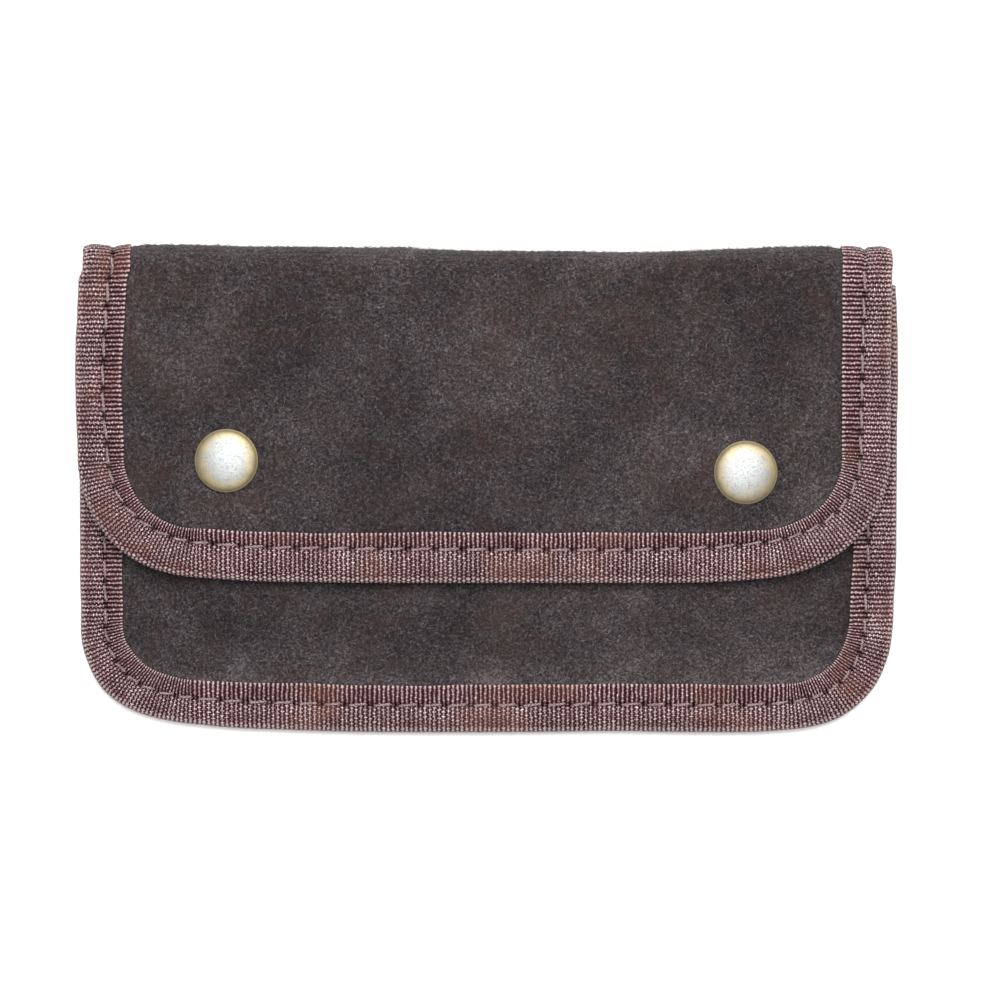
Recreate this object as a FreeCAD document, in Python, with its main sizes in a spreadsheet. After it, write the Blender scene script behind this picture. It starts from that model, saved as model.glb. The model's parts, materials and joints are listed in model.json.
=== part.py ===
import FreeCAD, Part

# Flap wallet in suede, bound with woven tape and closed by two press snaps.
# It lies on its back: +X to the wearer's right, +Y towards the fold, +Z out of the flap.
# The origin is at the middle of the outline, on the surface that the wallet lies on.
# Millimetres throughout.

import math
import os

import Sketcher

Vector = FreeCAD.Vector
doc = FreeCAD.newDocument("wallet")

# ---------------------------------------------------------------- driving dimensions

DIMENSIONS = {
    # outline
    "body_width": 194.4,
    "body_height": 116.8,
    "body_corner": 27.0,
    "flap_drop": 80.7,  # from the top of the fold to the flap's lower edge
    "flap_corner": 30.0,
    # materials
    "leather": 1.4,
    "lining": 0.3,
    "card_sheet": 0.35,
    "tape": 0.5,
    "tape_face": 11.4,  # width of tape that shows on each face
    "thread": 0.5,  # diameter
    "stitch_pitch": 6.0,
    "stitch_length": 4.5,
    "stitch_inset": 7.6,  # from the outer edge to the seam
    "seam_end": 1.0,  # from a seam's last stitch to the end of its sheet
    # how the pouch fills out
    "pocket_room": 5.4,
    "rise_side": 26.4,  # from the outer edge to where the front panel is flat
    "rise_bottom": 27.6,
    "mouth_edge": 49.3,  # Y of the pocket's bound edge
    "mouth_face": 10.0,
    "mouth_short": 2.0,  # how far the tape of the mouth stops inside the side tapes
    "mouth_seam": 3.0,  # from the tape's inner edge to its seam
    # fold and flap
    "fold_top": 13.5,  # Z of the leather where it leaves the fold
    "hinge_gap": 0.3,
    "bend_side": 24.4,  # from the outer edge to where the flap turns down
    "flap_side_top": 9.2,
    "flap_edge_top": 14.4,
    "flap_flat_from": 20.0,  # Y range over which the flap is level
    "flap_flat_to": -12.0,
    "fold_level": 2.0,  # Y that the flap stays level on each side of the fold's centre
    "overhang": 2.0,  # how far the faces that cut the flap reach past its sides
    "lining_short": 1.0,  # how far the lining stops before each hinge line
    # press snaps
    "snap_room": 3.0,  # between front panel and flap lining
    "snap_reach": 61.4,  # X of each snap
    "snap_left_level": 6.6,  # Y of each snap
    "snap_right_level": 3.8,
    "cap_radius": 7.5,
    "cap_height": 2.6,
    "cap_rim": 0.35,
    "shell": 0.45,
    "post_radius": 1.4,
    "post_flare": 0.8,  # how far the post is rolled over the socket's floor
    "post_roll": 0.15,
    "stud_base_radius": 5.2,
    "stud_base_edge": 0.3,
    "stud_base_slope": 1.0,
    "stud_neck_radius": 2.1,
    "stud_neck_foot": 0.6,
    "stud_head_radius": 2.45,
    "stud_head_height": 1.0,
    "stud_head_slope": 0.4,
    "stud_head_round": 0.2,
    "stud_head_bevel": 0.7,
    "stud_height": 2.2,
    "rivet_dish": 0.6,
    "rivet_edge": 0.2,
    "socket_radius": 6.1,
    "socket_gap": 0.45,  # from the socket to the stud's base
    "socket_bore": 4.1,
    "socket_floor": 0.35,
    "socket_bevel": 0.4,
    "socket_lip": 1.2,
    "socket_lip_height": 0.5,
    "spring_wire": 0.5,
    "spring_level": 0.9,  # above the front panel
    "spring_offset": 2.95,  # from the snap's axis to each wire
    "spring_clearance": 0.1,  # at the ends of the wires
    # card slots
    "slot_half_width": 80.0,
    "slot_bottom": -40.0,
    "slot_top": 34.0,
    "slot_step": 10.0,
    "slot_corner": 10.0,
    "slot_seam_side": 2.0,  # from a slot's side to its seam
    "slot_seam_end": 1.0,
    "card_panel_top": 44.0,
}

dims = doc.addObject("Spreadsheet::Sheet", "dims")
for row, (alias, value) in enumerate(DIMENSIONS.items(), start=1):
    dims.set(f"A{row}", alias)
    dims.set(f"B{row}", str(value))
    dims.setAlias(f"B{row}", alias)
doc.recompute()

# ---------------------------------------------------------------- sizes worked out from them


def cell(words):
    """The expression with each alias written as a cell of the sheet."""
    for alias in sorted(DIMENSIONS, key=len, reverse=True):
        words = words.replace("#" + alias, "dims." + alias)
    return words


def number(expression):
    return float(dims.evalExpression(expression))


def sum_of(*terms):
    return " + ".join(f"({term})" for term in terms)


def less(first, second):
    return f"({first}) - ({second})"


TAPE = cell("#tape")
LEATHER = cell("#leather")
LINING = cell("#lining")
SHELL = cell("#leather + #lining")

# outline
HALF = cell("#body_width / 2")
TOP = cell("#body_height / 2")
BOTTOM = cell("-#body_height / 2")
CORE_HALF = less(HALF, TAPE)
CORE_BOTTOM = sum_of(BOTTOM, TAPE)
CORE_CORNER = cell("#body_corner - #tape")
WINDOW_HALF = less(HALF, cell("#tape_face"))
WINDOW_BOTTOM = sum_of(BOTTOM, cell("#tape_face"))
WINDOW_CORNER = cell("#body_corner - #tape_face")
FLAP_BOTTOM = less(TOP, cell("#flap_drop"))

# levels of the pouch, from the surface up
BACK_Z = TAPE
BACK_LINING_Z = sum_of(BACK_Z, LEATHER)
CARD_Z = sum_of(BACK_LINING_Z, LINING)
SLOT_Z = sum_of(CARD_Z, cell("#card_sheet"))
FRONT_EDGE_TOP = sum_of(SLOT_Z, SHELL)
EDGE_THICKNESS = sum_of(FRONT_EDGE_TOP, TAPE)
FRONT_TOP = sum_of(SLOT_Z, cell("3 * #card_sheet"), cell("#pocket_room"), SHELL)

# levels of the flap
FLAP_LINING_Z = sum_of(FRONT_TOP, cell("#snap_room"))
FLAP_TOP = sum_of(FLAP_LINING_Z, SHELL)

# fold: a half ring, outer radius to the leather's face
FOLD_RADIUS = f"(({cell('#fold_top')}) - ({TAPE})) / 2"
FOLD_Z = sum_of(TAPE, FOLD_RADIUS)
FOLD_Y = f"({TOP}) - ({TAPE}) - ({FOLD_RADIUS})"
HALF_SHELL = f"({SHELL}) / 2"
KNUCKLE_GAP = sum_of(HALF_SHELL, cell("#hinge_gap"))
BACK_END = less(FOLD_Y, KNUCKLE_GAP)
TAPE_GAP = sum_of(KNUCKLE_GAP, TAPE)

FAR = "80"  # well past the fold
DEEP = "-5"  # well below the wallet
HIGH = "30"  # well above it


# ---------------------------------------------------------------- sketches


def pin(sketch, name, kind, geometry, point, expression):
    """Holds one point of the sketch at a distance from its origin that follows the sheet."""
    index = sketch.addConstraint(
        Sketcher.Constraint(kind, -1, 1, geometry, point, number(expression))
    )
    sketch.renameConstraint(index, name)
    sketch.setExpression("Constraints." + name, expression)


def draw_outline(sketch, half, bottom, top, corner):
    """A rectangle with its two lower corners rounded."""
    w, b, t, r = number(half), number(bottom), number(top), number(corner)
    up = Vector(0, 0, 1)
    sketch.addGeometry(
        [
            Part.LineSegment(Vector(-w, t, 0), Vector(w, t, 0)),
            Part.LineSegment(Vector(w, t, 0), Vector(w, b + r, 0)),
            Part.ArcOfCircle(
                Part.Circle(Vector(w - r, b + r, 0), up, r), 1.5 * math.pi, 2 * math.pi
            ),
            Part.LineSegment(Vector(w - r, b, 0), Vector(r - w, b, 0)),
            Part.ArcOfCircle(
                Part.Circle(Vector(r - w, b + r, 0), up, r), math.pi, 1.5 * math.pi
            ),
            Part.LineSegment(Vector(-w, b + r, 0), Vector(-w, t, 0)),
        ],
        False,
    )
    sketch.addConstraint(
        [
            Sketcher.Constraint("Coincident", 0, 2, 1, 1),
            Sketcher.Constraint("Coincident", 5, 2, 0, 1),
            Sketcher.Constraint("Tangent", 1, 2, 2, 2),
            Sketcher.Constraint("Tangent", 3, 1, 2, 1),
            Sketcher.Constraint("Tangent", 3, 2, 4, 2),
            Sketcher.Constraint("Tangent", 5, 1, 4, 1),
            Sketcher.Constraint("Horizontal", 0),
            Sketcher.Constraint("Vertical", 1),
            Sketcher.Constraint("Horizontal", 3),
            Sketcher.Constraint("Vertical", 5),
            Sketcher.Constraint("Equal", 2, 4),
        ]
    )
    index = sketch.addConstraint(Sketcher.Constraint("Radius", 2, r))
    sketch.renameConstraint(index, "corner")
    sketch.setExpression("Constraints.corner", corner)
    pin(sketch, "right", "DistanceX", 0, 2, half)
    pin(sketch, "left", "DistanceX", 0, 1, f"-({half})")
    pin(sketch, "top", "DistanceY", 0, 2, top)
    pin(sketch, "bottom", "DistanceY", 3, 1, bottom)


def draw_polygon(sketch, corners):
    """A closed polygon whose corners all follow the sheet."""
    places = [Vector(number(u), number(v), 0) for u, v in corners]
    count = len(places)
    for i in range(count):
        sketch.addGeometry(Part.LineSegment(places[i], places[(i + 1) % count]), False)
    for i in range(count):
        sketch.addConstraint(Sketcher.Constraint("Coincident", i, 2, (i + 1) % count, 1))
    for i, (u, v) in enumerate(corners):
        pin(sketch, f"u{i}", "DistanceX", i, 1, u)
        pin(sketch, f"v{i}", "DistanceY", i, 1, v)


def plane(body, role):
    return next(f for f in body.Origin.OriginFeatures if f.Role == role)


def body_sketch(body, name, role, level=None):
    sketch = body.newObject("Sketcher::SketchObject", name)
    sketch.AttachmentSupport = (plane(body, role), [""])
    sketch.MapMode = "FlatFace"
    if level is not None:
        sketch.setExpression("AttachmentOffset.Base.z", level)
    return sketch


# ---------------------------------------------------------------- solids for the flat pieces


def new_body(label):
    body = doc.addObject("PartDesign::Body", label)
    body.Label = label
    return body


def pad_outline(body, name, level, thickness, half, bottom, top, corner):
    sketch = body_sketch(body, name + "_outline", "XY_Plane", level)
    draw_outline(sketch, half, bottom, top, corner)
    pad = body.newObject("PartDesign::Pad", name)
    pad.Profile = sketch
    pad.setExpression("Length", thickness)
    doc.recompute()
    return pad


def pocket_outline(body, name, level, depth, half, bottom, top, corner):
    """Removes an outline's prism, from a level upwards."""
    before = body.Shape.Volume
    sketch = body_sketch(body, name + "_outline", "XY_Plane", level)
    draw_outline(sketch, half, bottom, top, corner)
    pocket = body.newObject("PartDesign::Pocket", name)
    pocket.Profile = sketch
    pocket.Reversed = True
    pocket.setExpression("Length", depth)
    doc.recompute()
    if not body.Shape.Volume < before:
        raise RuntimeError(f"{name} cut nothing")
    return pocket


def flat_sheet(label, level, thickness, half, bottom, top, corner):
    body = new_body(label)
    pad_outline(body, label + "_pad", level, thickness, half, bottom, top, corner)
    return body


# ---------------------------------------------------------------- solids for the bent pieces


def prism(name, half, bottom, top, corner, low=DEEP, high=HIGH):
    sketch = doc.addObject("Sketcher::SketchObject", name + "_outline")
    sketch.setExpression("Placement.Base.z", low)
    draw_outline(sketch, half, bottom, top, corner)
    solid = doc.addObject("Part::Extrusion", name)
    solid.Base = sketch
    solid.DirMode = "Custom"
    solid.Dir = Vector(0, 0, 1)
    solid.Solid = True
    solid.setExpression("LengthFwd", less(high, low))
    return solid


def block(name, half, y_low, y_high, z_low=DEEP, z_high=HIGH):
    """A box centred on X."""
    box = doc.addObject("Part::Box", name)
    box.setExpression("Length", f"2 * ({half})")
    box.setExpression("Width", less(y_high, y_low))
    box.setExpression("Height", less(z_high, z_low))
    box.setExpression("Placement.Base.x", f"-({half})")
    box.setExpression("Placement.Base.y", y_low)
    box.setExpression("Placement.Base.z", z_low)
    return box


def rod(name, radius, x, y, z_low, z_high):
    """An upright cylinder."""
    cylinder = doc.addObject("Part::Cylinder", name)
    cylinder.setExpression("Radius", radius)
    cylinder.setExpression("Height", less(z_high, z_low))
    cylinder.setExpression("Placement.Base.x", x)
    cylinder.setExpression("Placement.Base.y", y)
    cylinder.setExpression("Placement.Base.z", z_low)
    return cylinder


def combined(kind, name, first, second):
    result = doc.addObject("Part::" + kind, name)
    result.Base = first
    result.Tool = second
    return result


def cut(name, first, second):
    return combined("Cut", name, first, second)


def common(name, first, second):
    return combined("Common", name, first, second)


def fuse(name, first, second):
    return combined("Fuse", name, first, second)


def labelled(solid, label):
    solid.Label = label
    return solid


def loft(name, sections):
    solid = doc.addObject("Part::Loft", name)
    solid.Sections = sections
    solid.Solid = True
    solid.Ruled = True
    return solid


def dish(name, shift):
    """Everything under the front panel's outer face moved up by shift: a flat rim, raised inside."""
    rim = sum_of(FRONT_EDGE_TOP, shift)
    raised = sum_of(FRONT_TOP, shift)
    plate = prism(name + "_plate", HALF, BOTTOM, FAR, cell("#body_corner"), DEEP, rim)
    foot = doc.addObject("Sketcher::SketchObject", name + "_foot")
    foot.setExpression("Placement.Base.z", rim)
    draw_outline(foot, WINDOW_HALF, WINDOW_BOTTOM, FAR, WINDOW_CORNER)
    crown = doc.addObject("Sketcher::SketchObject", name + "_crown")
    crown.setExpression("Placement.Base.z", raised)
    crown_half = less(HALF, cell("#rise_side"))
    crown_bottom = sum_of(BOTTOM, cell("#rise_bottom"))
    draw_outline(crown, crown_half, crown_bottom, FAR, f"({WINDOW_CORNER}) / 2")
    return fuse(name, plate, loft(name + "_slope", [foot, crown]))


def flap_stations():
    """Y, side height and middle height of the flap's outer face, from the fold to the lower edge."""
    side = cell("#flap_side_top")
    return [
        (sum_of(FOLD_Y, cell("#fold_level")), cell("#fold_top"), cell("#fold_top")),
        (less(FOLD_Y, cell("#fold_level")), cell("#fold_top"), cell("#fold_top")),
        (cell("#flap_flat_from"), side, FLAP_TOP),
        (cell("#flap_flat_to"), side, FLAP_TOP),
        (less(FLAP_BOTTOM, cell("#overhang")), side, cell("#flap_edge_top")),
    ]


def arch(name, shift):
    """Everything under the flap's outer face moved up by shift: its sides turn down past the fold."""
    wide = sum_of(HALF, cell("#overhang"))
    bend = less(HALF, cell("#bend_side"))
    sections = []
    for i, (y, side, middle) in enumerate(flap_stations()):
        sketch = doc.addObject("Sketcher::SketchObject", f"{name}_section{i}")
        sketch.Placement = FreeCAD.Placement(
            Vector(0, 0, 0), FreeCAD.Rotation(Vector(1, 0, 0), 90)
        )
        sketch.setExpression("Placement.Base.y", y)
        side_z = sum_of(side, shift)
        middle_z = sum_of(middle, shift)
        draw_polygon(
            sketch,
            [
                (f"-({wide})", DEEP),
                (wide, DEEP),
                (wide, side_z),
                (bend, middle_z),
                (f"-({bend})", middle_z),
                (f"-({wide})", side_z),
            ],
        )
        sections.append(sketch)
    return loft(name, sections)


SIDES = (
    ("left", cell("-#snap_reach"), cell("#snap_left_level")),
    ("right", cell("#snap_reach"), cell("#snap_right_level")),
)


def snap_holes(name, solid):
    """The hole for each snap's post."""
    for side, x, y in SIDES:
        drill = rod(f"{name}_drill_{side}", cell("#post_radius"), x, y, "0", HIGH)
        solid = cut(f"{name}_drilled_{side}", solid, drill)
    return solid


# ---------------------------------------------------------------- the pouch

back_panel = flat_sheet(
    "back_panel", BACK_Z, LEATHER, CORE_HALF, CORE_BOTTOM, BACK_END, CORE_CORNER
)
back_lining = flat_sheet(
    "back_lining", BACK_LINING_Z, LINING, CORE_HALF, CORE_BOTTOM, BACK_END, CORE_CORNER
)
card_panel = flat_sheet(
    "card_panel",
    CARD_Z,
    cell("#card_sheet"),
    CORE_HALF,
    CORE_BOTTOM,
    cell("#card_panel_top"),
    CORE_CORNER,
)
card_slots = []
for step, label in enumerate(("card_slot_upper", "card_slot_middle", "card_slot_lower")):
    card_slots.append(
        flat_sheet(
            label,
            sum_of(SLOT_Z, cell(f"{step} * #card_sheet")),
            cell("#card_sheet"),
            cell("#slot_half_width"),
            cell("#slot_bottom"),
            cell(f"#slot_top - {step} * #slot_step"),
            cell("#slot_corner"),
        )
    )

FRONT_END = less(cell("#mouth_edge"), TAPE)
front_face = dish("front_face", "0")
front_inside = dish("front_inside", f"-({LEATHER})")
lining_inside = dish("lining_inside", f"-({SHELL})")
front_outline = prism("front_outline", CORE_HALF, CORE_BOTTOM, FRONT_END, CORE_CORNER)
front_skin = cut("front_skin", front_face, front_inside)
front_trimmed = common("front_trimmed", front_skin, front_outline)
front_panel = labelled(snap_holes("front", front_trimmed), "front_panel")
lining_skin = cut("lining_skin", front_inside, lining_inside)
lining_trimmed = common("lining_trimmed", lining_skin, front_outline)
front_lining = labelled(snap_holes("front_lining", lining_trimmed), "front_lining")

mouth_outside = dish("mouth_outside", TAPE)
mouth_inside = dish("mouth_inside", f"-({sum_of(SHELL, TAPE)})")
mouth_block = block(
    "mouth_block",
    less(WINDOW_HALF, cell("#mouth_short")),
    cell("#mouth_edge - #mouth_face"),
    cell("#mouth_edge"),
)
mouth_wrap = common("mouth_wrap", cut("mouth_sleeve", mouth_outside, mouth_inside), mouth_block)
mouth_core = common(
    "mouth_core", cut("mouth_layers", front_face, lining_inside), front_outline
)
mouth_binding = labelled(cut("mouth_tape", mouth_wrap, mouth_core), "mouth_binding")

body_binding = new_body("body_binding")
pad_outline(
    body_binding, "edge", "0", EDGE_THICKNESS, HALF, BOTTOM, BACK_END, cell("#body_corner")
)
pocket_outline(
    body_binding,
    "edge_core",
    TAPE,
    less(EDGE_THICKNESS, f"2 * ({TAPE})"),
    CORE_HALF,
    CORE_BOTTOM,
    FAR,
    CORE_CORNER,
)
pocket_outline(
    body_binding,
    "edge_window",
    DEEP,
    HIGH,
    WINDOW_HALF,
    WINDOW_BOTTOM,
    FAR,
    WINDOW_CORNER,
)

# ---------------------------------------------------------------- the flap

flap_face = arch("flap_face", "0")
flap_inside = arch("flap_inside", f"-({LEATHER})")
flap_under = arch("flap_under", f"-({SHELL})")
flap_tape_face = arch("flap_tape_face", TAPE)
flap_tape_under = arch("flap_tape_under", f"-({sum_of(SHELL, TAPE)})")
flap_core_bottom = sum_of(FLAP_BOTTOM, TAPE)
flap_core_corner = cell("#flap_corner - #tape")


def knuckle(name, y, z):
    """The round edge of a hinge line, along X."""
    cylinder = doc.addObject("Part::Cylinder", name)
    cylinder.Placement = FreeCAD.Placement(
        Vector(0, 0, 0), FreeCAD.Rotation(Vector(0, 1, 0), 90)
    )
    cylinder.setExpression("Radius", HALF_SHELL)
    cylinder.setExpression("Height", f"2 * ({CORE_HALF})")
    cylinder.setExpression("Placement.Base.x", f"-({CORE_HALF})")
    cylinder.setExpression("Placement.Base.y", y)
    cylinder.setExpression("Placement.Base.z", z)
    return cylinder


flap_outline = prism("flap_outline", CORE_HALF, flap_core_bottom, FOLD_Y, flap_core_corner)
flap_skin = common("flap_skin", cut("flap_layer", flap_face, flap_inside), flap_outline)
flap_knuckle = knuckle("flap_knuckle", FOLD_Y, less(cell("#fold_top"), HALF_SHELL))
flap_hinged = fuse("flap_hinged", flap_skin, flap_knuckle)
flap_panel = labelled(snap_holes("flap", flap_hinged), "flap_panel")

flap_lining_outline = prism(
    "flap_lining_outline",
    CORE_HALF,
    flap_core_bottom,
    less(FOLD_Y, cell("#lining_short")),
    flap_core_corner,
)
flap_lining_skin = common(
    "flap_lining_skin", cut("flap_lining_layer", flap_inside, flap_under), flap_lining_outline
)
flap_lining = labelled(snap_holes("flap_lining", flap_lining_skin), "flap_lining")

flap_tape_outline = prism(
    "flap_tape_outline", HALF, FLAP_BOTTOM, less(FOLD_Y, TAPE_GAP), cell("#flap_corner")
)
flap_window = prism(
    "flap_window",
    WINDOW_HALF,
    sum_of(FLAP_BOTTOM, cell("#tape_face")),
    FAR,
    cell("#flap_corner - #tape_face"),
)
flap_sleeve = cut("flap_sleeve", flap_tape_face, flap_tape_under)
flap_wrap = common("flap_wrap", flap_sleeve, flap_tape_outline)
flap_core_outline = prism(
    "flap_core_outline", CORE_HALF, flap_core_bottom, FAR, flap_core_corner
)
flap_core = common(
    "flap_core", cut("flap_layers", flap_face, flap_under), flap_core_outline
)
flap_band = cut("flap_band", flap_wrap, flap_window)
flap_binding = labelled(cut("flap_tape", flap_band, flap_core), "flap_binding")

# ---------------------------------------------------------------- the fold, in two links


def ring_part(name, inner, outer, start, end, x_low, x_high):
    """Part of a ring about the fold's centre line. Angles are in degrees from +Y towards +Z."""
    inner, outer = number(inner), number(outer)
    centre = Vector(number(x_low), number(FOLD_Y), number(FOLD_Z))

    def at(radius, degrees):
        angle = math.radians(degrees)
        return centre + Vector(0, radius * math.cos(angle), radius * math.sin(angle))

    middle = (start + end) / 2
    outside = Part.Arc(at(outer, start), at(outer, middle), at(outer, end)).toShape()
    inside = Part.Arc(at(inner, end), at(inner, middle), at(inner, start)).toShape()
    ends = [
        Part.LineSegment(at(outer, end), at(inner, end)).toShape(),
        Part.LineSegment(at(inner, start), at(outer, start)).toShape(),
    ]
    face = Part.Face(Part.Wire([outside, ends[0], inside, ends[1]]))
    solid = doc.addObject("Part::Feature", name)
    solid.Shape = face.extrude(Vector(number(x_high) - number(x_low), 0, 0))
    return solid


def degrees_of(distance):
    """The turn about the fold's centre that moves its mid layer by that distance."""
    return math.degrees(number(distance) / number(less(FOLD_RADIUS, HALF_SHELL)))


LEATHER_INNER = less(FOLD_RADIUS, LEATHER)
LINING_INNER = less(FOLD_RADIUS, SHELL)
CORE_LEFT = f"-({CORE_HALF})"
knuckle_turn = degrees_of(KNUCKLE_GAP)
tape_turn = degrees_of(TAPE_GAP)
lining_turn = degrees_of(cell("#lining_short"))
hinge_y = {
    "lower": FOLD_Y,
    "upper": sum_of(FOLD_Y, less(FOLD_RADIUS, HALF_SHELL)),
}
hinge_z = {"lower": sum_of(TAPE, HALF_SHELL), "upper": FOLD_Z}

fold_pieces = []
for link, begin in (("lower", -90), ("upper", 0)):
    finish = begin + 90
    skin = ring_part(
        f"fold_{link}_skin",
        LEATHER_INNER,
        FOLD_RADIUS,
        begin,
        finish - knuckle_turn,
        CORE_LEFT,
        CORE_HALF,
    )
    bead = knuckle(f"fold_{link}_knuckle", hinge_y[link], hinge_z[link])
    fold_pieces.append(
        labelled(fuse(f"fold_{link}_hinged", skin, bead), f"fold_{link}_panel")
    )
    fold_pieces.append(
        labelled(
            ring_part(
                f"fold_{link}_cloth",
                LINING_INNER,
                LEATHER_INNER,
                begin + lining_turn,
                finish - knuckle_turn,
                CORE_LEFT,
                CORE_HALF,
            ),
            f"fold_{link}_lining",
        )
    )
    for side, edge in (("left", -1), ("right", 1)):
        outer_x, inner_x = f"{edge} * ({HALF})", f"{edge} * ({WINDOW_HALF})"
        core_x = f"{edge} * ({CORE_HALF})"
        low, high = (outer_x, inner_x) if edge < 0 else (inner_x, outer_x)
        core_low, core_high = (core_x, inner_x) if edge < 0 else (inner_x, core_x)
        span = (begin + knuckle_turn, finish - tape_turn)
        sleeve = ring_part(
            f"fold_{link}_sleeve_{side}",
            less(LINING_INNER, TAPE),
            sum_of(FOLD_RADIUS, TAPE),
            *span,
            low,
            high,
        )
        filling = ring_part(
            f"fold_{link}_filling_{side}", LINING_INNER, FOLD_RADIUS, *span, core_low, core_high
        )
        fold_pieces.append(
            labelled(
                cut(f"fold_{link}_wrap_{side}", sleeve, filling),
                f"fold_{link}_binding_{side}",
            )
        )

# ---------------------------------------------------------------- press snaps


def turned(label, x, y, level, profile):
    """A turned piece about an upright axis: profile is its half section, as radius and height."""
    body = new_body(label)
    sketch = body_sketch(body, label + "_section", "XZ_Plane")
    draw_polygon(sketch, profile)
    spin = body.newObject("PartDesign::Revolution", label + "_turn")
    spin.Profile = sketch
    spin.ReferenceAxis = (sketch, ["V_Axis"])
    spin.Angle = 360
    body.setExpression("Placement.Base.x", x)
    body.setExpression("Placement.Base.y", y)
    body.setExpression("Placement.Base.z", level)
    doc.recompute()
    return body


def dome(radius, height, count):
    """Points of a shallow dome, from its foot to its crown, on an arc."""
    points = []
    for i in range(count + 1):
        share = i / count
        r = f"({radius}) * {math.cos(share * math.pi / 2):.6f}"
        z = f"({height}) * {math.sin(share * math.pi / 2):.6f}"
        points.append((r if i < count else "0", z))
    return points


DOME_STEPS = 10
SKIN = cell("#shell")
POST = cell("#post_radius")
SOCKET_FLOOR = cell("#socket_floor")
FLARE = sum_of(POST, cell("#post_flare"))
FLOOR_REACH = sum_of(SHELL, SOCKET_FLOOR)
post_reach = sum_of(FLOOR_REACH, cell("#post_roll"))
cap_profile = [
    ("0", f"-({post_reach})"),
    (FLARE, f"-({post_reach})"),
    (FLARE, f"-({FLOOR_REACH})"),
    (POST, f"-({FLOOR_REACH})"),
    (POST, "0"),
    (cell("#cap_radius"), "0"),
]
for r, z in dome(cell("#cap_radius"), cell("#cap_height - #cap_rim"), DOME_STEPS):
    cap_profile.append((r, sum_of(z, cell("#cap_rim"))))
socket_height = cell("#snap_room - #shell - #socket_gap")
socket_profile = [
    (POST, "0"),
    (cell("#socket_radius - #socket_bevel"), "0"),
    (cell("#socket_radius"), cell("-#socket_bevel")),
    (cell("#socket_radius"), less(cell("#socket_lip_height"), socket_height)),
    (cell("#socket_radius - #socket_lip"), f"-({socket_height})"),
    (cell("#socket_bore"), f"-({socket_height})"),
    (cell("#socket_bore"), f"-({SOCKET_FLOOR})"),
    (POST, f"-({SOCKET_FLOOR})"),
]
stud_profile = [
    (POST, "0"),
    (cell("#stud_base_radius"), "0"),
    (cell("#stud_base_radius"), cell("#stud_base_edge")),
    (cell("#stud_base_radius - #stud_base_slope"), SKIN),
    (cell("#stud_neck_radius"), cell("#stud_neck_foot")),
    (cell("#stud_neck_radius"), cell("#stud_height - #stud_head_height")),
    (cell("#stud_head_radius"), cell("#stud_height - #stud_head_height + #stud_head_slope")),
    (cell("#stud_head_radius - #stud_head_round"), cell("#stud_height - #stud_head_round")),
    (cell("#stud_head_radius - #stud_head_bevel"), cell("#stud_height")),
    (POST, cell("#stud_height")),
]
rivet_profile = [
    ("0", f"-({sum_of(SHELL, SKIN)})"),
    (cell("#stud_base_radius - #rivet_dish"), f"-({sum_of(SHELL, SKIN)})"),
    (cell("#stud_base_radius"), f"-({sum_of(SHELL, cell('#rivet_edge'))})"),
    (cell("#stud_base_radius"), f"-({SHELL})"),
    (POST, f"-({SHELL})"),
    (POST, cell("#stud_height")),
    ("0", cell("#stud_height")),
]

snaps = []
for side, x, y in SIDES:
    snaps.append(turned(f"snap_cap_{side}", x, y, FLAP_TOP, cap_profile))
    snaps.append(turned(f"snap_socket_{side}", x, y, FLAP_LINING_Z, socket_profile))
    snaps.append(turned(f"snap_stud_{side}", x, y, FRONT_TOP, stud_profile))
    snaps.append(turned(f"snap_post_{side}", x, y, FRONT_TOP, rivet_profile))


def spring_wires(label, x, y):
    """Two straight wires across the socket, one each side of the stud's neck."""
    radius = number(cell("#spring_wire")) / 2
    offset = number(cell("#spring_offset"))
    bore = number(cell("#socket_bore - #spring_clearance"))
    reach = math.sqrt(bore**2 - (offset + radius) ** 2)
    level = number(sum_of(FRONT_TOP, cell("#spring_level")))
    wires = [
        Part.makeCylinder(
            radius,
            2 * reach,
            Vector(number(x) - reach, number(y) + way * offset, level),
            Vector(1, 0, 0),
        )
        for way in (-1, 1)
    ]
    spring = doc.addObject("Part::Feature", label)
    spring.Label = label
    spring.Shape = Part.makeCompound(wires)
    return spring


for side, x, y in SIDES:
    snaps.append(spring_wires(f"snap_spring_{side}", x, y))

# ---------------------------------------------------------------- seams


def seam_stations(half, bottom, top, corner, pitch):
    """Places and headings along a seam: down the left side, round the corners and up the right side."""
    side = top - bottom - corner
    floor = 2 * (half - corner)
    turn = corner * math.pi / 2
    length = 2 * side + 2 * turn + floor
    count = int(length // pitch)
    stations = []
    for i in range(count):
        d = (i + 0.5) * length / count
        if d < side:
            stations.append((-half, top - d, -90))
        elif d < side + turn:
            a = 180 + math.degrees((d - side) / corner)
            stations.append(
                (
                    corner - half + corner * math.cos(math.radians(a)),
                    bottom + corner + corner * math.sin(math.radians(a)),
                    a + 90,
                )
            )
        elif d < side + turn + floor:
            stations.append((corner - half + d - side - turn, bottom, 0))
        elif d < side + 2 * turn + floor:
            a = 270 + math.degrees((d - side - turn - floor) / corner)
            stations.append(
                (
                    half - corner + corner * math.cos(math.radians(a)),
                    bottom + corner + corner * math.sin(math.radians(a)),
                    a + 90,
                )
            )
        else:
            stations.append((half, bottom + corner + d - side - 2 * turn - floor, 90))
    return stations


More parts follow.
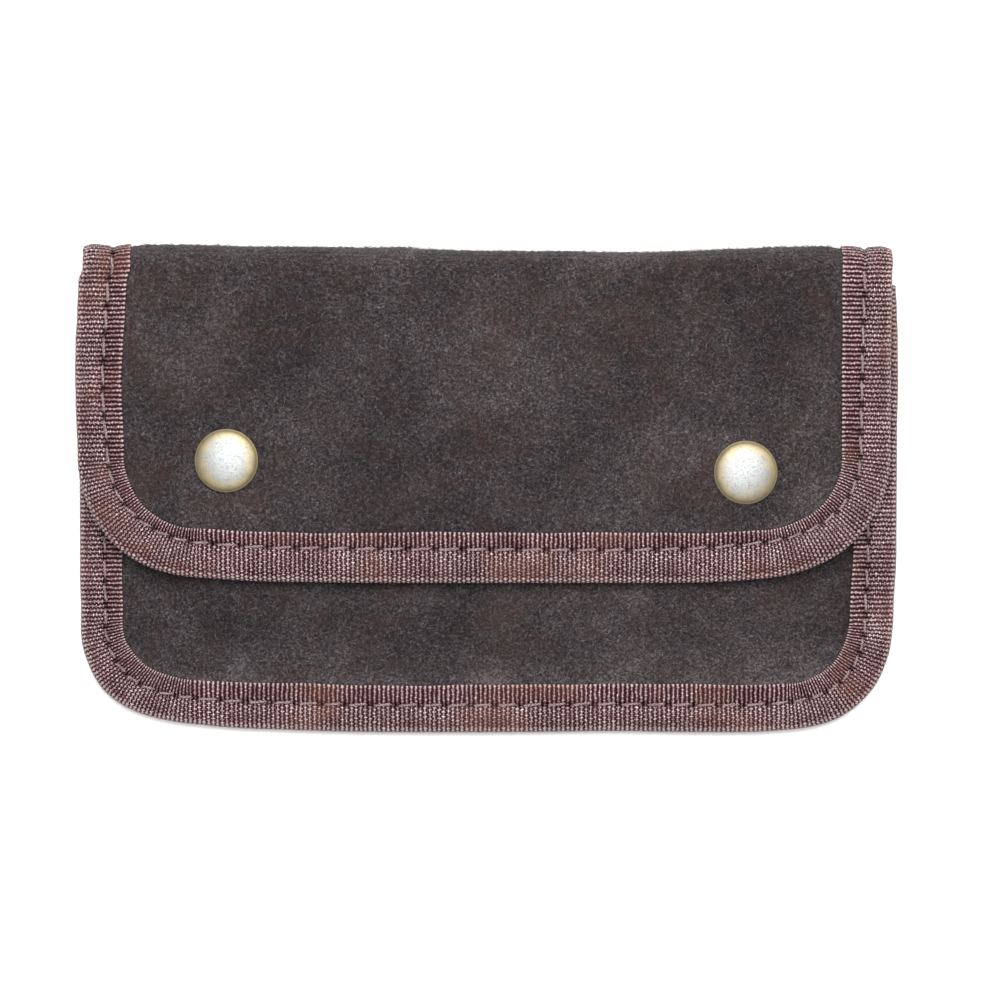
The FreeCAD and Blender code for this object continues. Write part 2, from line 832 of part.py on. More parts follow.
def flap_height(x, y):
    """Z of the flap's outer face."""
    stations = [tuple(number(v) for v in s) for s in flap_stations()]
    bend = number(less(HALF, cell("#bend_side")))
    wide = number(sum_of(HALF, cell("#overhang")))
    for (y0, side0, middle0), (y1, side1, middle1) in zip(stations, stations[1:]):
        if y1 <= y <= y0:
            share = (y0 - y) / (y0 - y1)
            side = side0 + share * (side1 - side0)
            middle = middle0 + share * (middle1 - middle0)
            down = max(0.0, (abs(x) - bend) / (wide - bend))
            return middle + down * (side - middle)
    raise ValueError(f"y {y} is off the flap")


def stitches(label, places):
    """One short rod per stitch, from its two end points."""
    radius = number(cell("#thread")) / 2
    rods = [
        Part.makeCylinder(radius, (end - start).Length, start, end - start)
        for start, end in places
    ]
    seam = doc.addObject("Part::Feature", label)
    seam.Label = label
    seam.Shape = Part.makeCompound(rods)
    return seam


def along(stations, length, height):
    """The end points of a stitch centred on each station; height gives Z at a place."""
    places = []
    for x, y, heading in stations:
        dx = math.cos(math.radians(heading)) * length / 2
        dy = math.sin(math.radians(heading)) * length / 2
        start = Vector(x - dx, y - dy, height(x - dx, y - dy))
        end = Vector(x + dx, y + dy, height(x + dx, y + dy))
        places.append((start, end))
    return places


pitch = number(cell("#stitch_pitch"))
stitch_length = number(cell("#stitch_length"))
inset = number(cell("#stitch_inset"))
seam_end = number(cell("#seam_end"))
thread_radius = number(cell("#thread")) / 2
half_width = number(HALF)

body_stations = seam_stations(
    half_width - inset,
    number(BOTTOM) + inset,
    number(BACK_END) - seam_end,
    number(cell("#body_corner")) - inset,
    pitch,
)
edge_top = number(EDGE_THICKNESS)
seams = [
    stitches(
        "body_seam_thread",
        along(body_stations, stitch_length, lambda x, y: edge_top)
        + along(body_stations, stitch_length, lambda x, y: thread_radius),
    )
]
flap_stitch_stations = seam_stations(
    half_width - inset,
    number(FLAP_BOTTOM) + inset,
    number(less(FOLD_Y, TAPE_GAP)) - seam_end,
    number(cell("#flap_corner")) - inset,
    pitch,
)
tape_thickness = number(TAPE)
shell_thickness = number(SHELL)
seams.append(
    stitches(
        "flap_seam_thread",
        along(
            flap_stitch_stations,
            stitch_length,
            lambda x, y: flap_height(x, y) + tape_thickness,
        )
        + along(
            flap_stitch_stations,
            stitch_length,
            lambda x, y: flap_height(x, y) - shell_thickness - tape_thickness,
        ),
    )
)


def straight_stations(start, end, pitch):
    (x0, y0), (x1, y1) = start, end
    count = int(math.hypot(x1 - x0, y1 - y0) // pitch)
    heading = math.degrees(math.atan2(y1 - y0, x1 - x0))
    shares = [(i + 0.5) / count for i in range(count)]
    return [(x0 + s * (x1 - x0), y0 + s * (y1 - y0), heading) for s in shares]


mouth_y = number(cell("#mouth_edge - #mouth_face + #mouth_seam"))
mouth_half = number(less(HALF, cell("#rise_side"))) - seam_end
mouth_top = number(FRONT_TOP)
mouth_stations = straight_stations((-mouth_half, mouth_y), (mouth_half, mouth_y), pitch)
seams.append(
    stitches(
        "mouth_seam_thread",
        along(mouth_stations, stitch_length, lambda x, y: mouth_top + tape_thickness)
        + along(
            mouth_stations,
            stitch_length,
            lambda x, y: mouth_top - shell_thickness - tape_thickness,
        ),
    )
)

slot_seam_x = number(cell("#slot_half_width - #slot_seam_side"))
slot_seam_low = number(cell("#slot_bottom + #slot_seam_end"))
slot_seam_high = number(cell("#slot_top - 2 * #slot_step - #slot_seam_end"))
slot_seam_z = number(sum_of(SLOT_Z, cell("3 * #card_sheet")))
slot_stations = []
for x in (-slot_seam_x, 0, slot_seam_x):
    slot_stations += straight_stations((x, slot_seam_low), (x, slot_seam_high), pitch)
seams.append(
    stitches(
        "card_seam_thread", along(slot_stations, stitch_length, lambda x, y: slot_seam_z)
    )
)

# ---------------------------------------------------------------- check and write

doc.recompute()
for item in doc.Objects:
    if "Invalid" in item.State or "Error" in item.State:
        raise RuntimeError(f"{item.Name} did not compute: {item.State}")

PIECES = (
    [back_panel, back_lining, card_panel, *card_slots, front_panel, front_lining]
    + [mouth_binding, body_binding, flap_panel, flap_lining, flap_binding]
    + [*fold_pieces, *snaps, *seams]
)

os.makedirs("parts", exist_ok=True)
for piece in PIECES:
    shape = piece.Shape
    if shape.isNull() or not shape.isValid() or not shape.Solids:
        raise RuntimeError(f"{piece.Label} is not a valid solid")
    shape.exportStep(f"parts/{piece.Label}.step")
    box = shape.BoundBox
    print(
        f"{piece.Label:28s} {len(shape.Solids):4d} solids {shape.Volume:10.1f} mm3 "
        f"x {box.XMin:7.2f} {box.XMax:7.2f} y {box.YMin:7.2f} {box.YMax:7.2f} "
        f"z {box.ZMin:6.2f} {box.ZMax:6.2f}"
    )
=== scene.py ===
import json
import math

import bpy
import numpy as np
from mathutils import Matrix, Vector


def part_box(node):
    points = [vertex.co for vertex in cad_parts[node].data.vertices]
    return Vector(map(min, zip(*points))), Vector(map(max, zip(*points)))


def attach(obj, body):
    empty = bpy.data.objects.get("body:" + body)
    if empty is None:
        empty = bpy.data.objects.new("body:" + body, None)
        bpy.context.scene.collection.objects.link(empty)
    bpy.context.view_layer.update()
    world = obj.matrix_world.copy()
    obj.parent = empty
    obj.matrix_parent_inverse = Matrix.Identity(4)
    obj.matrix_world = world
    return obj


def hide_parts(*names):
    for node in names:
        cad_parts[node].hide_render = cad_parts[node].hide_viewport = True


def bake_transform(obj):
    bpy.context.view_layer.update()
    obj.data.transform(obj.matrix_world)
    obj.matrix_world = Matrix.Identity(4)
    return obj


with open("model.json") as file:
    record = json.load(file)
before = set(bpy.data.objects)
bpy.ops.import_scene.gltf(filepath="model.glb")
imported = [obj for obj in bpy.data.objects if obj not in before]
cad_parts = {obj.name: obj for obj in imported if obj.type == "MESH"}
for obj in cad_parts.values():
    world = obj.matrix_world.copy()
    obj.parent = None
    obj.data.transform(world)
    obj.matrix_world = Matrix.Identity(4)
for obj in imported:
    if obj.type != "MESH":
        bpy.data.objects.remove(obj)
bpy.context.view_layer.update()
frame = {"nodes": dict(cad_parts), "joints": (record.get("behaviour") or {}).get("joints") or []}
print("frame loaded")

# a flap wallet of bound suede, lying on its back; sizes are in millimetres until a mesh is made
mm = 0.001
random = np.random.default_rng(11)


# the low and high corner of a node, and a hinge's place, both read from the frame
def boxOf(node):
    low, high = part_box(node)
    return np.array(low) / mm, np.array(high) / mm


def hingeAt(name):
    joint = next(j for j in frame["joints"] if j["name"] == name)
    return np.array(joint["pos_m"]) / mm


bodyLow, bodyHigh = boxOf("body_binding")
backLow, backHigh = boxOf("back_panel")
clothLow, clothHigh = boxOf("back_lining")
halfWidth = bodyHigh[0]
bodyBottom = bodyLow[1]
flapBottom = boxOf("flap_binding")[0][1]
tape = backLow[2] - bodyLow[2]
leather = backHigh[2] - backLow[2]
shell = leather + clothHigh[2] - clothLow[2]
rimTop = bodyHigh[2] - tape
frontTop = boxOf("front_panel")[1][2]
flapTop = boxOf("flap_panel")[1][2]
mouthEdge = boxOf("mouth_binding")[1][1]
foldY = hingeAt("flap_hinge")[1]
foldZ = hingeAt("fold_middle_hinge")[2]
foldTop = hingeAt("flap_hinge")[2] + shell / 2
foldRadius = foldTop - foldZ

# back, fold and flap are one sheet, measured along its outer face: down is 0 at the middle of
# the fold, grows along the flap and is negative on the back
quarter = foldRadius * math.pi / 2
cutAt = quarter / 2  # where the fold's own span meets the flap's and the back's
flapEnd = quarter + foldY - flapBottom
backEnd = quarter + foldY - bodyBottom

flapForm = {
    "sag": [  # place across, and how far the fold falls short of its nominal top there
        (-98, 0.1), (-89.5, 0.75), (-80, -0.4), (-66, -0.3), (-56, 0.05), (-37, 0.2), (-30, 0.3),
        (-21, 0.15), (-13, 0.73), (-4, 1.1), (10, 1.15), (20, 1.15), (30, 1.45), (39, 1.4),
        (46, 1.2), (58, 0.66), (70, 0.2), (80, 0.0), (86, 0.7), (91.5, 1.15), (98, 0.8),
    ],
    "sagTo": 24.0,  # how far past the fold the sag dies out
    "droop": 4.4,  # how far the sides turn down
    "droopFrom": 60.0,
    "levelAt": 16.0,  # height on the wallet where the flap has risen to its level middle
    "fallFrom": -6.0,
    "edgeFall": 0.7,  # how far the lower edge lies below the middle
    "wave": 0.30,
    "fuzz": 0.10,  # the rough of the nap, where it makes the outline
    "fuzzTo": 84.0,
}
frontForm = {"wave": 0.30, "riseSide": 25.0, "riseBottom": 27.0, "flatRim": 9.0}


# 0 below 0, 1 above 1, and 3t^2 - 2t^3 between them
def smooth(t):
    t = np.clip(t, 0.0, 1.0)
    return t * t * (3 - 2 * t)


# values at places along a line, joined by smooth steps
def tableAt(place, table):
    places, values = np.array(table, float).T
    index = np.clip(np.searchsorted(places, place, side="right") - 1, 0, len(places) - 2)
    share = smooth((place - places[index]) / (places[index + 1] - places[index]))
    return values[index] + share * (values[index + 1] - values[index])


# up to the level middle, down again towards the lower edge and both sides, with slow waves
def flapRise(x, y):
    up = smooth((foldY - y) / (foldY - flapForm["levelAt"]))
    fall = smooth((flapForm["fallFrom"] - y) / (flapForm["fallFrom"] - flapBottom))
    start = flapForm["droopFrom"]
    side = np.clip((np.abs(x) - start) / (halfWidth - start), 0, 1.1)
    wave = np.sin(x / 17.0 + 0.6) * np.sin(y / 13.0) + 0.6 * np.sin(x / 8.3 + y / 21.0)
    height = (flapTop - foldTop) * up - flapForm["edgeFall"] * fall
    return height - flapForm["droop"] * side ** 1.7 * up + flapForm["wave"] * wave * up


# the product of a smooth ramp in from each edge, from 0 on the rim to the level middle
def frontRise(x, y):
    side = smooth((halfWidth - frontForm["flatRim"] - np.abs(x)) / frontForm["riseSide"])
    bottom = smooth((y - bodyBottom - frontForm["flatRim"]) / frontForm["riseBottom"])
    wave = np.sin(x / 15.0 + 1.0) * np.sin(y / 11.0 + 0.4)
    return ((frontTop - rimTop) + frontForm["wave"] * wave) * side * bottom


# outer face of the folded sheet: a half ring about the fold's centre line, straight on at both ends
def shellFace(x, down):
    turn = np.clip(down / foldRadius, -math.pi / 2, math.pi / 2)
    past = np.maximum(np.abs(down) - quarter, 0)
    sag = tableAt(x, flapForm["sag"]) * (1 - smooth(past / flapForm["sagTo"])) * np.cos(turn * 0.9)
    rough = np.sin(x * 2.3 + 2.0 * np.sin(x * 0.71)) + np.sin(x * 4.1)
    fuzz = flapForm["fuzz"] * rough * (np.abs(x) < flapForm["fuzzTo"])
    y = foldY + (foldRadius + fuzz / 2) * np.cos(turn) - past - sag
    z = foldZ + foldRadius * np.sin(turn) + np.where(down > quarter, flapRise(x, y), 0)
    return np.stack([x, y, z], -1)


# outer face of the pocket's front; down grows towards the bottom edge
def frontFace(x, down):
    return np.stack([x, -down, rimTop + frontRise(x, -down)], -1)


# a point at a height above a face: the face's own point plus lift times its unit normal, which
# comes from the cross product of small steps along both directions
def offFace(face, x, down, lift):
    step = 0.05
    here = face(x, down)
    normal = np.cross(face(x, down + step) - here, face(x + step, down) - here)
    normal /= np.linalg.norm(normal, axis=-1, keepdims=True)
    return here + normal * np.asarray(lift)[..., None]


def onShell(x, down, lift):
    return offFace(shellFace, x, down, lift)


def onFront(x, down, lift):
    return offFace(frontFace, x, down, lift)


# the body's tape follows the front on its top leg and goes straight down to the back below it
def onRim(x, down, lift):
    rise = frontRise(x, -down) * smooth((lift + rimTop) / rimTop)
    return np.stack([x, -down, rimTop + lift + rise], -1)


# each outline is two straight sides, two rounded corners and a straight end. left and right move
# the sides out by what their tables say at each place down, and lifts are soft bumps, each with
# its middle, reach, and height, that take the end's corners in a little
flapEdge = {
    "half": halfWidth - 0.6,
    "start": cutAt,
    "end": flapEnd,
    "cornerLeft": 29.5,
    "cornerRight": 31.0,
    "left": [
        (0, -0.4), (5, -0.8), (9, -0.9), (12.5, 0.1), (20, 0.45), (27, 0.95), (34, 1.15),
        (41, 1.05), (54, 0.6), (66, 0.3), (90, 0.4),
    ],
    "right": [(0, 0.2), (5, 0.0), (12, -0.3), (24, -0.4), (90, -0.4)],
    "lifts": [(-71.0, 14.0, 1.3), (73.0, 14.0, 1.3), (-45.0, 12.0, 0.2)],
}
bodyEdge = {
    "half": halfWidth,
    "start": 0.6 - mouthEdge,
    "end": -bodyBottom,
    "cornerLeft": 27.3,
    "cornerRight": 25.9,
    "left": [
        (-60, -1.2), (-54, -0.5), (-46, 0.0), (-20, 0.3), (20, 0.25), (30, 0.0), (40, 0.5),
        (50, 1.2), (70, 1.2),
    ],
    "right": [
        (-60, -1.4), (-54, 0.6), (-49, 1.0), (-43, 1.3), (-37, 1.5), (-25, 1.6), (-14, 1.35),
        (15, 1.2), (30, 0.5), (35, 0.25), (41, 0.35), (48, 0.65), (70, 0.7),
    ],
    "lifts": [(-76.0, 13.0, 2.1), (-55.0, 18.0, 0.7), (29.0, 14.0, 0.3), (75.0, 8.0, 0.7)],
}
backEdge = dict(bodyEdge, start=cutAt, end=backEnd, left=flapEdge["left"], right=flapEdge["right"])


def shaped(x, down, edge):
    out = np.where(x < 0, tableAt(down, edge["left"]), tableAt(down, edge["right"]))
    lift = sum(
        height * np.exp(-((x - middle) / reach) ** 2) for middle, reach, height in edge["lifts"]
    )
    near = smooth((down - edge["end"] + 42.0) / 36.0)
    return x * (1 + out / edge["half"]), down - lift * near


# the back has the flap's outline as far as the body's tape, and then the body's, with down counted
# on from the fold's middle
def shapedBack(x, down):
    bodyDown = down - backEnd - bodyBottom
    far = smooth((bodyDown - bodyEdge["start"]) / 4.0)
    one, two = shaped(x, down, flapEdge), shaped(x, bodyDown, bodyEdge)
    return one[0] + (two[0] - one[0]) * far, down + (two[1] - bodyDown)


# down the left side, round the corner, along the end, round the other corner and up the right
# side: s is the length along the outer edge and inset the distance in from it. The straights
# move in by inset, and the corners keep their centres and lose inset from their radius
def edgePath(s, inset, edge):
    half, start, end = edge["half"], edge["start"], edge["end"]
    left, right = edge["cornerLeft"], edge["cornerRight"]
    turned = left * math.pi / 2, right * math.pi / 2
    cuts = np.cumsum([end - left - start, turned[0], 2 * half - left - right, turned[1]])
    one = np.clip((s - cuts[0]) / left, 0, math.pi / 2)
    two = np.clip((s - cuts[2]) / right, 0, math.pi / 2)
    parts = [s < cuts[0], s < cuts[1], s < cuts[2], s < cuts[3]]
    x = np.select(parts, [
        inset - half,
        left - half - (left - inset) * np.cos(one),
        left - half + s - cuts[1],
        half - right + (right - inset) * np.sin(two),
    ], half - inset)
    down = np.select(parts, [
        start + s,
        end - left + (left - inset) * np.sin(one),
        end - inset,
        end - right + (right - inset) * np.cos(two),
    ], end - right - (s - cuts[3]))
    return shaped(x, down, edge)


def edgeLength(edge):
    left, right = edge["cornerLeft"], edge["cornerRight"]
    straight = 2 * (edge["end"] - edge["start"]) - left - right + 2 * edge["half"] - left - right
    return straight + (left + right) * math.pi / 2


# the faces as they are, or all turned over where the volume they hold is negative
def rightWay(points, faces):
    volume = 0.0
    for group in faces:
        for k in range(1, group.shape[1] - 1):
            a, b, c = points[group[:, 0]], points[group[:, k]], points[group[:, k + 1]]
            volume += np.einsum("ij,ij->i", a, np.cross(b, c)).sum()
    return faces if volume >= 0 else [group[:, ::-1] for group in faces]


# a mesh from points in millimetres and groups of faces, each group with as many corners a face
def makeMesh(name, points, faces, material, uv=None, shade=None):
    points = np.asarray(points, float).reshape(-1, 3)
    faces = rightWay(points, [np.asarray(group) for group in faces])
    corners = np.concatenate([group.ravel() for group in faces])
    sizes = np.concatenate([np.full(len(group), group.shape[1]) for group in faces])
    starts = np.concatenate([[0], np.cumsum(sizes)[:-1]])
    mesh = bpy.data.meshes.new(name)
    mesh.vertices.add(len(points))
    mesh.vertices.foreach_set("co", (points * mm).astype(np.float32).ravel())
    mesh.loops.add(len(corners))
    mesh.loops.foreach_set("vertex_index", corners.astype(np.int32))
    mesh.polygons.add(len(sizes))
    mesh.polygons.foreach_set("loop_start", starts.astype(np.int32))
    mesh.polygons.foreach_set("use_smooth", np.ones(len(sizes), bool))
    if uv is not None:
        layer = mesh.uv_layers.new(name="UVMap")
        layer.data.foreach_set("uv", np.asarray(uv, np.float32).reshape(-1, 2)[corners].ravel())
    if shade is not None:
        mesh.attributes.new("shade", "FLOAT", "POINT")
        mesh.attributes["shade"].data.foreach_set("value", np.asarray(shade, np.float32).ravel())
    mesh.update(calc_edges=True)
    mesh.validate()
    mesh.materials.append(material)
    piece = bpy.data.objects.new(name, mesh)
    bpy.context.scene.collection.objects.link(piece)
    return piece


# four-sided faces between neighbouring points of a grid, closed round its columns if wrap is set
def gridFaces(rows, columns, wrap=False, first=0):
    i = np.arange(rows - 1)[:, None]
    j = np.arange(columns if wrap else columns - 1)[None, :]
    k = (j + 1) % columns
    here, after = i * columns, (i + 1) * columns
    return np.stack([here + j, here + k, after + k, after + j], -1).reshape(-1, 4) + first


# one closed solid for each strip, which is a row of rings with their texture places and shade:
# each ring is a closed loop of points, and a flat end closes the first and the last
def makeTubes(name, strips, material):
    points, faces, uvs, shades, first = [], [], [], [], 0
    for rings, uv, shade in strips:
        rows, columns = rings.shape[:2]
        flat = rings.reshape(-1, 3)
        ends = np.stack([np.arange(columns)[::-1], np.arange(columns) + (rows - 1) * columns])
        for group in rightWay(flat, [gridFaces(rows, columns, wrap=True), ends]):
            faces.append(group + first)
        points.append(flat)
        uvs.append(uv.reshape(-1, 2))
        shades.append(shade.ravel())
        first += len(flat)
    together = [np.concatenate(part) for part in (points, uvs, shades)]
    return makeMesh(name, together[0], faces, material, together[1], together[2])


# a closed thin solid between two grids: both faces and a rim round them
def makeSheet(name, top, bottom, material, uv):
    rows, columns = top.shape[:2]
    count = rows * columns
    index = np.arange(count).reshape(rows, columns)
    rim = np.concatenate([index[0], index[1:, -1], index[-1, -2::-1], index[-2:0:-1, 0]])
    after = np.roll(rim, -1)
    sides = np.stack([rim, rim + count, after + count, after], -1)
    under = gridFaces(rows, columns, first=count)[:, ::-1]
    faces = np.concatenate([gridFaces(rows, columns), under, sides])
    points = np.concatenate([top.reshape(-1, 3), bottom.reshape(-1, 3)])
    return makeMesh(name, points, [faces], material, np.concatenate([uv.reshape(-1, 2)] * 2))


# a turned piece: a half section of radius and height swept round an upright axis. Its first and
# last points are on the axis and are one point each, so both poles are closed
def makeTurned(name, centre, section, material, segments=96):
    radius, height = np.array(section, float).T
    angle = np.arange(segments) / segments * 2 * math.pi
    wall = np.stack([
        radius[1:-1, None] * np.cos(angle) + centre[0],
        radius[1:-1, None] * np.sin(angle) + centre[1],
        np.repeat(height[1:-1, None], segments, 1) + centre[2],
    ], -1)
    rows = wall.shape[0]
    poles = [[centre[0], centre[1], centre[2] + h] for h in (height[0], height[-1])]
    points = np.concatenate([wall.reshape(-1, 3), poles])
    j = np.arange(segments)
    k = (j + 1) % segments
    first = np.stack([np.full(segments, rows * segments), k, j], -1)
    top = (rows - 1) * segments
    last = np.stack([np.full(segments, rows * segments + 1), j + top, k + top], -1)
    uv = np.zeros((len(points), 2))
    uv[:, 0] = np.concatenate([np.repeat(radius[1:-1], segments), [0, 0]])
    uv[:, 1] = np.concatenate([np.repeat(height[1:-1], segments), [height[0], height[-1]]])
    return makeMesh(name, points, [gridFaces(rows, segments, wrap=True), first, last], material, uv)


# an sRGB hex colour as linear light
def hexColour(text):
    parts = [int(text[i:i + 2], 16) / 255 for i in (1, 3, 5)]
    return (*[p / 12.92 if p <= 0.04045 else ((p + 0.055) / 1.055) ** 2.4 for p in parts], 1.0)


# adds one node and gives back its first output. A value in inputs is set on its socket, an output
# socket is linked to it, and stops are a colour ramp's places and hex colours
def addNode(tree, kind, inputs=None, stops=None, **settings):
    node = tree.nodes.new("ShaderNode" + kind)
    for key, value in settings.items():
        setattr(node, key, value)
    for key, value in (inputs or {}).items():
        if isinstance(value, bpy.types.NodeSocket):
            tree.links.new(value, node.inputs[key])
        else:
            node.inputs[key].default_value = value
    if stops:
        points = node.color_ramp.elements
        while len(points) < len(stops):
            points.new(0.5)
        for point, (place, colour) in zip(points, stops):
            point.position, point.color = place, hexColour(colour)
    return node.outputs[0] if node.outputs else None


# an empty material, its tree, and the place on the piece that its patterns follow
def newMaterial(name):
    material = bpy.data.materials.new(name)
    material.use_nodes = True
    tree = material.node_tree
    tree.nodes.clear()
    return material, tree, addNode(tree, "TexCoord").node.outputs["Object"]


# a start, and each source times its weight
def weighted(tree, start, parts):
    for source, weight in parts:
        start = addNode(tree, "Math", {0: source, 1: weight, 2: start}, operation="MULTIPLY_ADD")
    return start


# how far a value is from the middle of its whole step: 0 in the middle, 0.5 at both ends
def fromMiddle(tree, value):
    value = addNode(tree, "Math", {0: value}, operation="FRACT")
    value = addNode(tree, "Math", {0: value, 1: 0.5}, operation="SUBTRACT")
    return addNode(tree, "Math", {0: value}, operation="ABSOLUTE")


suedeLook = {
    "stops": [(0.16, "#0E0B0C"), (0.40, "#1E1B1D"), (0.62, "#373234"), (0.90, "#686164")],
    "ground": -0.255,  # makes the whole hide darker or paler
    "rust": "#33211F",
    "toneByPlace": (48.0, -33.0),  # painted light, paler above the first height, near the fold, and below the second, towards the lower edge
    "noises": {  # millimetres across, detail, distortion. Real nap is finer than these curls
        "patches": (24.0, 3.0, 0.5),
        "blotches": (4.5, 3.0, 1.0),
        "curls": (1.3, 1.5, 2.2),
        "flecks": (0.6, 2.0, 0.6),
        "thin": (11.11, 4.0, 1.0),
    },
    "weights": {"flecks": 0.86, "patches": 0.42, "blotches": 0.16},
    "curl": 0.22,
    "bump": 0.55,
}


def suedeNap():
    # cow suede, dyed charcoal brown and brushed: matt, with curled fibres lying every way, slow
    # paler patches where it has worn, rusty patches where the dye is thin, and painted light in
    # soft paler bands near the fold and towards the lower edge
    material, tree, place = newMaterial("brushed cow suede")
    noise = {
        name: addNode(tree, "TexNoise", {
            "Vector": place, "Scale": 1 / (across * mm), "Detail": detail, "Distortion": distortion,
        })
        for name, (across, detail, distortion) in suedeLook["noises"].items()
    }
    # a curl is bright along the line where its noise crosses the middle
    line = addNode(tree, "Math", {0: noise["curls"], 1: 0.5}, operation="SUBTRACT")
    line = addNode(tree, "Math", {0: line}, operation="ABSOLUTE")
    line = addNode(tree, "MapRange", {0: line, 1: 0.0, 2: 0.055, 3: 1.0, 4: 0.0})
    upDown = addNode(tree, "SeparateXYZ", {0: place}).node.outputs[1]
    high, low = (height * mm for height in suedeLook["toneByPlace"])
    # painted light: the suede is paler above the first height, near the fold, and below the second,
    # towards the lower edge
    paintedLightTop = addNode(tree, "MapRange", {0: upDown, 1: high, 2: high + 0.008, 3: 0.0, 4: 0.06})
    paintedLightFoot = addNode(tree, "MapRange", {0: upDown, 1: low, 2: low - 0.014, 3: 0.0, 4: 0.13})
    tone = weighted(tree, suedeLook["ground"], [
        (paintedLightTop, 1.0), (paintedLightFoot, 1.0), (line, suedeLook["curl"]),
        *((noise[name], weight) for name, weight in suedeLook["weights"].items()),
    ])
    ground = addNode(tree, "ValToRGB", {0: tone}, stops=suedeLook["stops"])
    thin = addNode(tree, "MapRange", {0: noise["thin"], 1: 0.46, 2: 0.70, 3: 0.0, 4: 0.42})
    colour = addNode(tree, "Mix", {
        0: thin, 6: ground, 7: hexColour(suedeLook["rust"]),
    }, data_type="RGBA").node.outputs[2]
    height = weighted(tree, noise["flecks"], [(line, 0.5)])
    normal = addNode(tree, "Bump", {
        "Strength": suedeLook["bump"], "Distance": 0.0003, "Height": height,
    })
    surface = addNode(tree, "BsdfPrincipled", {
        "Base Color": colour, "Roughness": 0.95, "Normal": normal,
        "Sheen Weight": 0.06, "Sheen Roughness": 0.5, "Specular IOR Level": 0.10,
    })
    addNode(tree, "OutputMaterial", {"Surface": surface})
    return material


tapeLook = {
    "ribPitch": 1.09,  # mm from rib to rib
    "knuckle": 0.95,  # mm from one knuckle to the next along a rib
    # the ramp's dark end is painted shade in the gaps between ribs, and its pale end painted
    # highlight on the crowns
    "stops": [
        (0.0, "#1E080D"), (0.22, "#34151B"), (0.44, "#553840"), (0.68, "#84706F"), (1.0, "#D0C4C4"),
    ],
    "ground": -0.25,
    # painted shade in the needle holes and along the seam's crease
    "hole": "#080304",
    # the inner woven edge's own pale loops, and a painted highlight round the rim
    "edgeLoopsAndRimHighlight": "#B09A9A",
    "rust": "#5A3224",
    "noises": {  # steps a metre, detail
        "stray": (700.0, 2.0),
        "wander": (260.0, 1.0),
        "fibre": (3900.0, 2.0),
        "cloud": (130.0, 2.0),
        "thin": (60.0, 3.0),
    },
    "stray": 0.62,  # how far a rib wanders, in ribs
    "wander": 1.6,  # and a knuckle, in knuckles
    "bump": 0.8,
}


